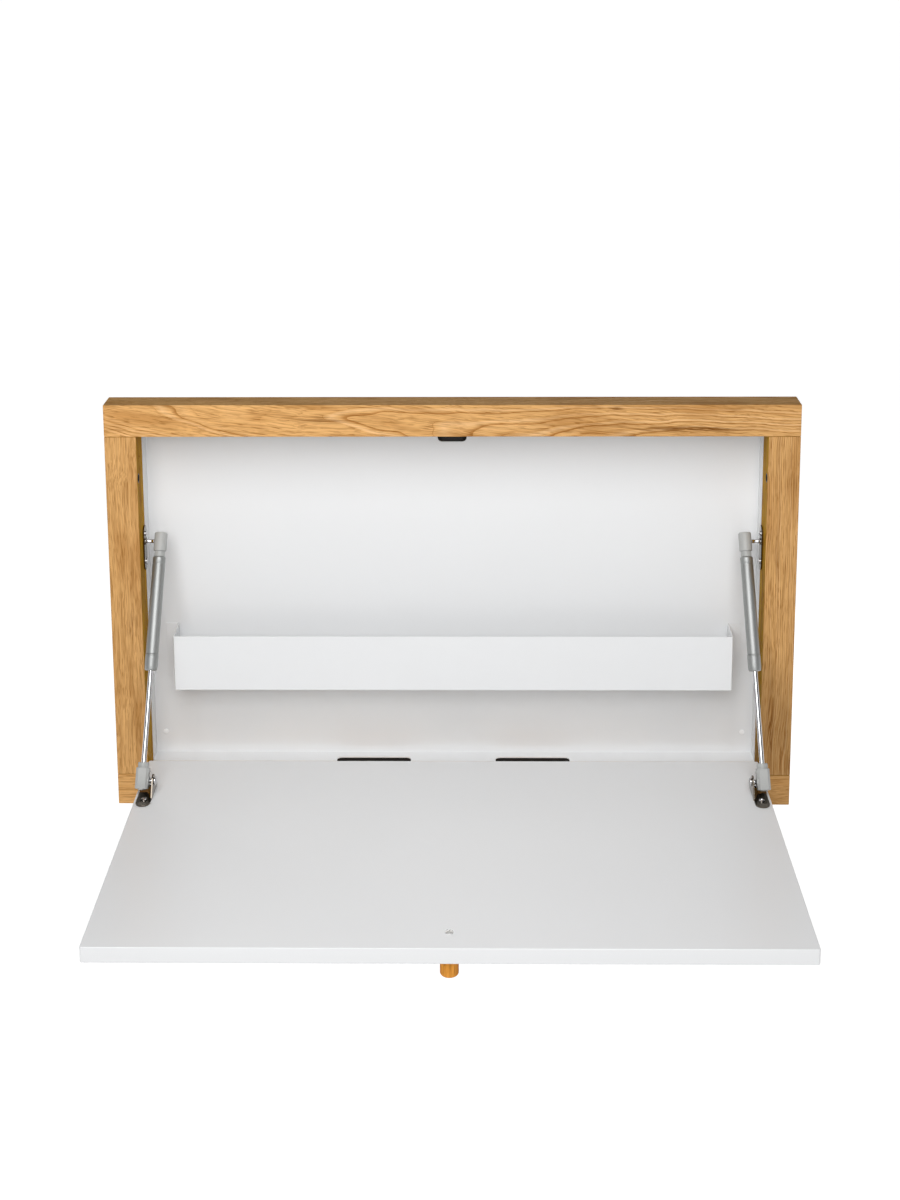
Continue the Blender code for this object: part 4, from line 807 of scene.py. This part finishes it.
for side in SIDES:
    place, length = strut_line(side)
    cap = [(0, length - 12.3), (7.3, length - 12.3), (7.9, length - 11.7), (8, length - 10.5)]
    cap += [(8, length + 9.0), (7.55, length + 9.8), (7.3, length + 10.6), (6.6, length + 11)]
    cap += [(5.6, length + 11), (5.3, length + 10.7), (4.9, length + 6.5), (0, length + 6.5)]
    cap = cut_flat(spun(cap, 64), (-FLAT_OFFSET * MM, 0, 0), (-1, 0, 0))
    neck = spun([(NECK_BORE, length - 19.1), (NECK_RADIUS, length - 19.1),
                 (NECK_RADIUS, length - 12.2), (NECK_BORE, length - 12.2)], 40)
    sides = [f for f in neck.faces
             if abs(f.normal.z) < 0.1 and f.calc_center_median().xy.length > 5 * MM]
    sides.sort(key=lambda f: math.atan2(f.calc_center_median().y, f.calc_center_median().x))
    ribs = bmesh.ops.extrude_discrete_faces(neck, faces=sides[::2])["faces"]
    for rib in ribs:
        bmesh.ops.translate(neck, vec=rib.normal * RIB_HEIGHT * MM, verts=rib.verts)
    bmesh.ops.recalc_face_normals(cap, faces=cap.faces)
    socket = moved(joined(cap, neck), place)
    finished(f"{side}_upper_socket", socket, acetal, f"{side}_tube",
             [f"{side}_tube_socket"], sharp=30)
    print(side, "upper socket:", len(ribs), "ribs")

# %% [markdown]
# The lower socket is a squarish moulding with chamfered corners, a collar round the rod
# and a rounded lip below. A boss on its inner side takes the ball, and the two ends of
# the spring clip that locks it show as small bumps.

# %% Bevelled block
def block(low, high, bevel, segments=2):
    """A box between two corners, in millimetres, with bevelled edges."""
    bm = bmesh.new()
    bmesh.ops.create_cube(bm, size=1.0)
    low = Vector(low) * MM
    high = Vector(high) * MM
    bmesh.ops.scale(bm, vec=high - low, verts=bm.verts)
    bmesh.ops.translate(bm, vec=(low + high) / 2, verts=bm.verts)
    if bevel:
        bmesh.ops.bevel(bm, geom=bm.edges[:], offset=bevel * MM, segments=segments,
                        profile=0.5, affect="EDGES", material=-1)
    return bm


# %% Lower socket
CORNER_CHAMFER = 3 * MM
END_ROUNDING = 0.7 * MM

for side in SIDES:
    place, _ = strut_line(side)
    body = block((-7.8, -7.8, -9.4), (7.8, 7.8, 15.7), 0)
    uprights = [e for e in body.edges if abs((e.verts[0].co - e.verts[1].co).z) > MM]
    bmesh.ops.bevel(body, geom=uprights, offset=CORNER_CHAMFER, segments=1, profile=0.5,
                    affect="EDGES", material=-1)
    ends = [e for e in body.edges if e.calc_face_angle(0) > math.radians(60)]
    bmesh.ops.bevel(body, geom=ends, offset=END_ROUNDING, segments=3, profile=0.5,
                    affect="EDGES", material=-1)
    collar = spun([(3.2, 15.2), (6.6, 15.2), (6.6, 16.4), (6.3, 16.8), (6.3, 17.3), (6.6, 17.7),
                   (6.6, 21.0), (5.8, 22.0), (3.2, 22.0)])
    lip = spun([(0, -10.5), (4.6, -10.5), (5.2, -9.9), (5.2, -8.8), (0, -8.8)])
    tongue = block((-2.2, -7.8, -10.5), (2.2, -3.0, -8.9), 0.4)
    boss = spun([(4.3, 6.8), (6.4, 6.8), (6.4, 8.0), (5.9, 8.5), (4.6, 8.5), (4.3, 8.0)])
    moved(boss, Matrix.Rotation(math.radians(90), 4, "Y"))
    clip = block((6.9, 1.6, 10.2), (8.6, 4.0, 12.6), 0.7, 3)
    clip_foot = block((6.9, -4.0, 10.2), (8.6, -1.6, 12.6), 0.7, 3)
    socket = moved(joined(body, collar, lip, tongue, boss, clip, clip_foot), place)
    finished(f"{side}_lower_socket", socket, acetal, f"{side}_rod",
             [f"{side}_rod_socket"], sharp=30)
    print(side, "lower socket: 7 shapes in one moulding")

# %% [markdown]
# ## Ball studs
# Each stud has a flange that seats on its bracket, and a bright shank. The lower one runs
# into a full ball inside the socket and is held by a rounded nut behind the tab. The
# upper one ends at the socket's flat, so that the strut can swing clear of it.

# %% Studs
BALL_RADIUS = 4.0  # All in mm.
TAB_TO_BALL = 14.0

for side, sign in SIDES.items():
    low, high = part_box(f"{side}_upper_stud")
    centre = middle(f"{side}_upper_stud")
    reach = (high.x - low.x) / MM
    wall = low.x if sign < 0 else high.x
    profile = [(0, 0), (2.6, 0), (2.6, 2.3), (4.6, 2.3), (5.0, 2.7), (5.0, 3.3), (4.0, 4.0), (2.7, 4.3)]
    profile += [(2.45, 5.0), (2.45, reach - 1.2), (2.6, reach - 0.8)]
    profile += [(2.6, reach - 0.2), (2.4, reach), (0, reach)]
    stud = moved(spun(profile), aimed((wall, centre.y, centre.z), (-sign, 0, 0)))
    finished(f"{side}_upper_ball_stud", stud, chrome, "cabinet", [f"{side}_upper_stud"])

    ball = Vector(joints[f"{side}_rod_pivot"]["pos_m"])
    profile = [(0, -3.5), (3.2, -3.5), (4.4, -2.9), (5.0, -1.8), (5.0, -0.6), (4.8, -0.3), (2.6, -0.3)]
    profile += [(2.6, 2.0), (3.4, 2.0), (3.6, 2.3), (3.6, 3.0), (2.3, 4.0), (2.1, TAB_TO_BALL - 3.4)]
    profile += rounding((0, TAB_TO_BALL), BALL_RADIUS, -58, 84, 12) + [(0, TAB_TO_BALL + BALL_RADIUS)]
    tab = ball - Vector((sign * TAB_TO_BALL * MM, 0, 0))
    stud = moved(spun(profile), aimed(tab, (sign, 0, 0)))
    finished(f"{side}_lower_ball_stud", stud, chrome, "panel", [f"{side}_lower_stud"])
    print(side, "upper stud reaches", round(reach, 1), "mm in from its bracket")

# %% [markdown]
# ## Knob, caps and catches
# The knob is a short oak dowel with an eased end, turned along the grain. The caps are
# low moulded domes over the wall screws. A ball catch is a plated tube, turned in at its
# mouth to keep the ball, and its strike is a dished cup in the stile. All of them are
# turned, so each needs only its profile and the place of its node.

# %% Knob
knob_low, knob_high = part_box("knob")
length = (knob_high.z - knob_low.z) / MM
profile = [(0, 0.3), (9.2, 0.3), (10, 1.1)]
profile += rounding((7.2, length - 2.9), 2.8, 0, 78, 6) + [(0, length)]
knob_top = Vector((middle("knob").x, middle("knob").y, knob_high.z))
knob = moved(spun(profile, 64), aimed(knob_top, (0, 0, -1)))
finished("turned_oak_knob", knob, oak["knob"], "panel", ["knob"])
print("knob:", round(length, 1), "mm long")

# %% Caps and catches
CAP_HEIGHT = 1.3  # In mm.
CATCH_BALL = 4.0

for side, sign in SIDES.items():
    low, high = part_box(f"{side}_screw_cap")
    centre = middle(f"{side}_screw_cap")
    profile = [(0, -1.4), (1.9, -1.4), (1.9, 0.3), (3.1, 0.3), (3.3, 0.5)]
    profile += rounding((2.5, 0.5), 0.8, 0, 70) + [(0, CAP_HEIGHT + 0.05)]
    cap = moved(spun(profile, 40), aimed((centre.x, low.y + CAP_HEIGHT * MM, centre.z), (0, -1, 0)))
    finished(f"{side}_cap", cap, cap_white, "cabinet", [f"{side}_screw_cap"])

    low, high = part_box(f"{side}_catch_housing")
    edge = low.x if sign < 0 else high.x
    centre = middle(f"{side}_catch_housing")
    profile = [(0, -14), (5.5, -14), (5.5, -0.4), (5.1, 0), (3.6, 0), (3.55, -0.2)]
    profile += [(4.3, -1.4), (4.3, -12), (0, -12)]
    shell = moved(spun(profile), aimed((edge, centre.y, centre.z), (sign, 0, 0)))
    finished(f"{side}_catch_shell", shell, zinc, "panel", [f"{side}_catch_housing"])

    ball = middle(f"{side}_catch_ball")
    profile = [(0, -CATCH_BALL)] + rounding((0, 0), CATCH_BALL, -82, 82, 16) + [(0, CATCH_BALL)]
    finished(f"{side}_catch_steel_ball", moved(spun(profile), aimed(ball, (sign, 0, 0))), chrome,
             f"{side}_ball", [f"{side}_catch_ball"])

    low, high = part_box(f"{side}_catch_strike")
    wall = high.x if sign < 0 else low.x
    centre = middle(f"{side}_catch_strike")
    profile = [(0, -6), (6, -6), (6, -0.35), (5.7, 0), (4.7, 0), (4.3, -0.5), (3.3, -3.4), (0, -3.6)]
    cup = moved(spun(profile), aimed((wall, centre.y, centre.z), (-sign, 0, 0)))
    # The cup is near black as painted shade inside the strike's opening.
    finished(f"{side}_strike_cup", cup, shade_black_steel, "cabinet", [f"{side}_catch_strike"])
    print(side, "catch: ball at", [round(c, 4) for c in ball])

# %% [markdown]
# ## Screws behind the desk and in the hinges
# From behind, the pan's flange is screwed to the oak, and each hinge leaf is held in the
# rail by three countersunk screws. They are small, but the back looks unmade without
# them. The same function makes both: a countersunk head is only a much lower dome. Each
# row of screws is joined into one piece, because it never moves apart.

# %% Flange screws
IN_FROM_EDGE = 6 * MM
FLANGE_SEAT = 1.8 * MM
ALONG_FLANGE = (-0.36, -0.18, 0.0, 0.18, 0.36)  # Both in metres.
UP_FLANGE = (-0.13, 0.0, 0.13)
FLANGE_SCREW = (3.2, 1.5, 1.6, 1.0)  # In mm, in the order of BRACKET_SCREW.

_, pan_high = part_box("back_pan")
flange_x = pan_high.x - IN_FROM_EDGE
flange_z = pan_high.z - IN_FROM_EDGE
flange_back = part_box("frame_top_rail")[1].y + FLANGE_SEAT
places = [(x, z) for z in (-flange_z, flange_z) for x in ALONG_FLANGE]
places += [(x, z) for x in (-flange_x, flange_x) for z in UP_FLANGE]
rows = []
for count, (x, z) in enumerate(places):
    bm = cross_screw(*FLANGE_SCREW)
    bmesh.ops.rotate(bm, matrix=Matrix.Rotation(count * 0.7, 3, "Z"), verts=bm.verts)
    rows.append(moved(bm, aimed((x, flange_back, z), (0, 1, 0))))
finished("pan_flange_screws", joined(*rows), zinc, "cabinet")
print("flange screws:", len(places))

# %% [markdown]
# A leaf is let into the rail, so its face is level with the sill, below the knuckles. Its
# three screws stand in a shallow V, as on a real butt hinge, so that the wood can't split
# along one line of grain.

# %% Hinge screws
LEAF_SCREW = (2.8, 0.35, 1.4, 0.3)
SCREW_STEP = 20 * MM

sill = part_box("frame_bottom_rail")[1].z
for place in ("left", "centre", "right"):
    low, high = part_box(f"{place}_rail_leaf")
    rows = []
    for step in (-1, 0, 1):
        at = ((low.x + high.x) / 2 + step * SCREW_STEP, high.y - (7 + 4 * abs(step)) * MM, sill)
        rows.append(moved(cross_screw(*LEAF_SCREW), aimed(at, (0, 0, 1))))
    print(place, "leaf screws:", len(rows))
    finished(f"{place}_leaf_screws", joined(*rows), zinc, "cabinet")

# %% [markdown]
# ## Floor
# The desk hangs with its writing surface at table height over a plain pale floor. The
# floor glows a little, as a lit paper sweep does, and more so behind the desk, so that it
# stays clean white there. It is made so wide that its far edge is never seen.

# %% Floor
FLOOR_LEVEL = -0.95  # Both in metres.
FLOOR_REACH = 500
paper, tree, shader = new_finish("pale_floor", "#A6A6A6", 0.9)
shader.inputs["Emission Color"].default_value = (1, 1, 1, 1)
depth = add_node(tree, "SeparateXYZ", None, {0: add_node(tree, "TexCoord").outputs["Object"]}).outputs["Y"]
# Half strength 1.2 m in front of the desk, and nearly full strength behind it.
glow = add_node(tree, "MapRange", {1: -1.2, 2: 0.0, 3: 0.50, 4: 0.95}, {0: depth}).outputs[0]
tree.links.new(glow, shader.inputs["Emission Strength"])
bm = bmesh.new()
bmesh.ops.create_grid(bm, x_segments=1, y_segments=1, size=FLOOR_REACH)
bmesh.ops.translate(bm, vec=(0, 0, FLOOR_LEVEL), verts=bm.verts)
mesh = bpy.data.meshes.new("floor")
bm.to_mesh(mesh)
bm.free()
mesh.materials.append(paper)
floor = bpy.data.objects.new("floor", mesh)
bpy.context.scene.collection.objects.link(floor)
print("floor:", FLOOR_LEVEL, "m below the middle of the desk")

# %% [markdown]
# The desk hangs on a wall, but a whole wall would hide its back. Only the little of the
# wall that shows through the slots is set up, as two strips with the slots' deep shade painted on.
# Seen from behind the strips would be black bars, so their back is made clear.

# %% Shade on one side
# Near black: the shade of the wall is painted into its colour.
shade, tree, shader = new_finish("shaded_wall", "#161513", 0.9)
behind = add_node(tree, "NewGeometry").outputs["Backfacing"]
clear = add_node(tree, "BsdfTransparent").outputs[0]
one_sided = add_node(tree, "MixShader", None, {0: behind, 1: shader.outputs[0], 2: clear}).outputs[0]
tree.links.new(one_sided, tree.nodes["Material Output"].inputs["Surface"])

# %% Strips of wall
BEHIND_DESK = 0.5 * MM


def wall_strip(name, low, high):
    """An upright strip of wall, just behind the desk, between two (x, z) corners."""
    bm = bmesh.new()
    corners = [(low[0], low[1]), (high[0], low[1]), (high[0], high[1]), (low[0], high[1])]
    bm.faces.new([bm.verts.new((x, BEHIND_DESK, z)) for x, z in corners])
    mesh = bpy.data.meshes.new(name)
    bm.to_mesh(mesh)
    bm.free()
    mesh.materials.append(shade)
    strip = bpy.data.objects.new(name, mesh)
    bpy.context.scene.collection.objects.link(strip)


wall_strip("wall_behind_cable_slots", (-0.165, -0.245), (0.165, -0.2225))
wall_strip("wall_behind_hook", (-0.022, 0.192), (0.022, 0.216))
print("strips of wall, each", BEHIND_DESK / MM, "mm behind the desk")

# %% [markdown]
# ## The room
# Chrome has no colour of its own and shows only what stands round it, so the room matters
# as much as the lamps. It is bright near the horizon and dimmer overhead, which keeps the
# white sheets from burning out. To the left and right it is shaded, as by a studio's
# black flags: they draw the dark edges along the rods and the brackets.
# The brightness is read from the direction of view, by its height and its x.

# %% Room
ROOM_BY_HEIGHT = [(0.0, 0.34), (0.12, 0.32), (0.45, 0.14), (0.9, 0.12)]
ROOM_BY_SIDE = [(0.0, 1.0), (0.13, 1.0), (0.19, 0.16), (0.78, 0.16), (0.92, 0.45)]
ROOM_STRENGTH = 3.4

room = bpy.data.worlds.new("soft_room")
room.use_nodes = True
tree = room.node_tree
way = add_node(tree, "TexCoord").outputs["Generated"]
height = add_node(tree, "SeparateXYZ", None, {0: way}).outputs["Z"]
side_on = add_node(tree, "SeparateXYZ", None, {0: way}).outputs["X"]
aside = add_node(tree, "Math", None, {0: side_on}, operation="ABSOLUTE").outputs[0]
upward_stops = [(at, grey(brightness)) for at, brightness in ROOM_BY_HEIGHT]
flag_stops = [(at, grey(brightness)) for at, brightness in ROOM_BY_SIDE]
upwards = add_node(tree, "ValToRGB", None, {"Fac": height}, upward_stops)
flags = add_node(tree, "ValToRGB", None, {"Fac": aside}, flag_stops)
light = times(tree, upwards.outputs["Color"], flags.outputs["Color"])
tree.links.new(light, tree.nodes["Background"].inputs["Color"])
tree.nodes["Background"].inputs["Strength"].default_value = ROOM_STRENGTH
bpy.context.scene.world = room
print("room: strength", ROOM_STRENGTH)

# %% [markdown]
# ## The lamps
# One large soft box stands in front and slightly above, and gives the broad, even light of
# a product picture, with soft shadows under the tray and behind the struts. A dim one
# behind keeps the back readable when the desk is turned. Neither is seen by the camera.

# %% Soft boxes
def soft_box(name, at, target, width, height, watts):
    """A rectangular soft light aimed at a point."""
    lamp = bpy.data.lights.new(name, "AREA")
    lamp.shape = "RECTANGLE"
    lamp.size = width
    lamp.size_y = height
    lamp.energy = watts
    holder = bpy.data.objects.new(name, lamp)
    bpy.context.scene.collection.objects.link(holder)
    holder.location = at
    holder.rotation_euler = (Vector(target) - Vector(at)).to_track_quat("-Z", "Y").to_euler()
    holder.visible_camera = False


soft_box("front_box", (-0.15, -1.58, 1.20), (0, -0.1, 0), width=1.6, height=1.6, watts=36)
soft_box("back_fill", (0.6, 2.6, -0.1), (0, 0, 0), width=2.0, height=1.2, watts=14)
# The plain sRGB view keeps white white, where a film-like one would grey it.
view = bpy.context.scene.view_settings
view.view_transform = "Standard"
view.look = "None"
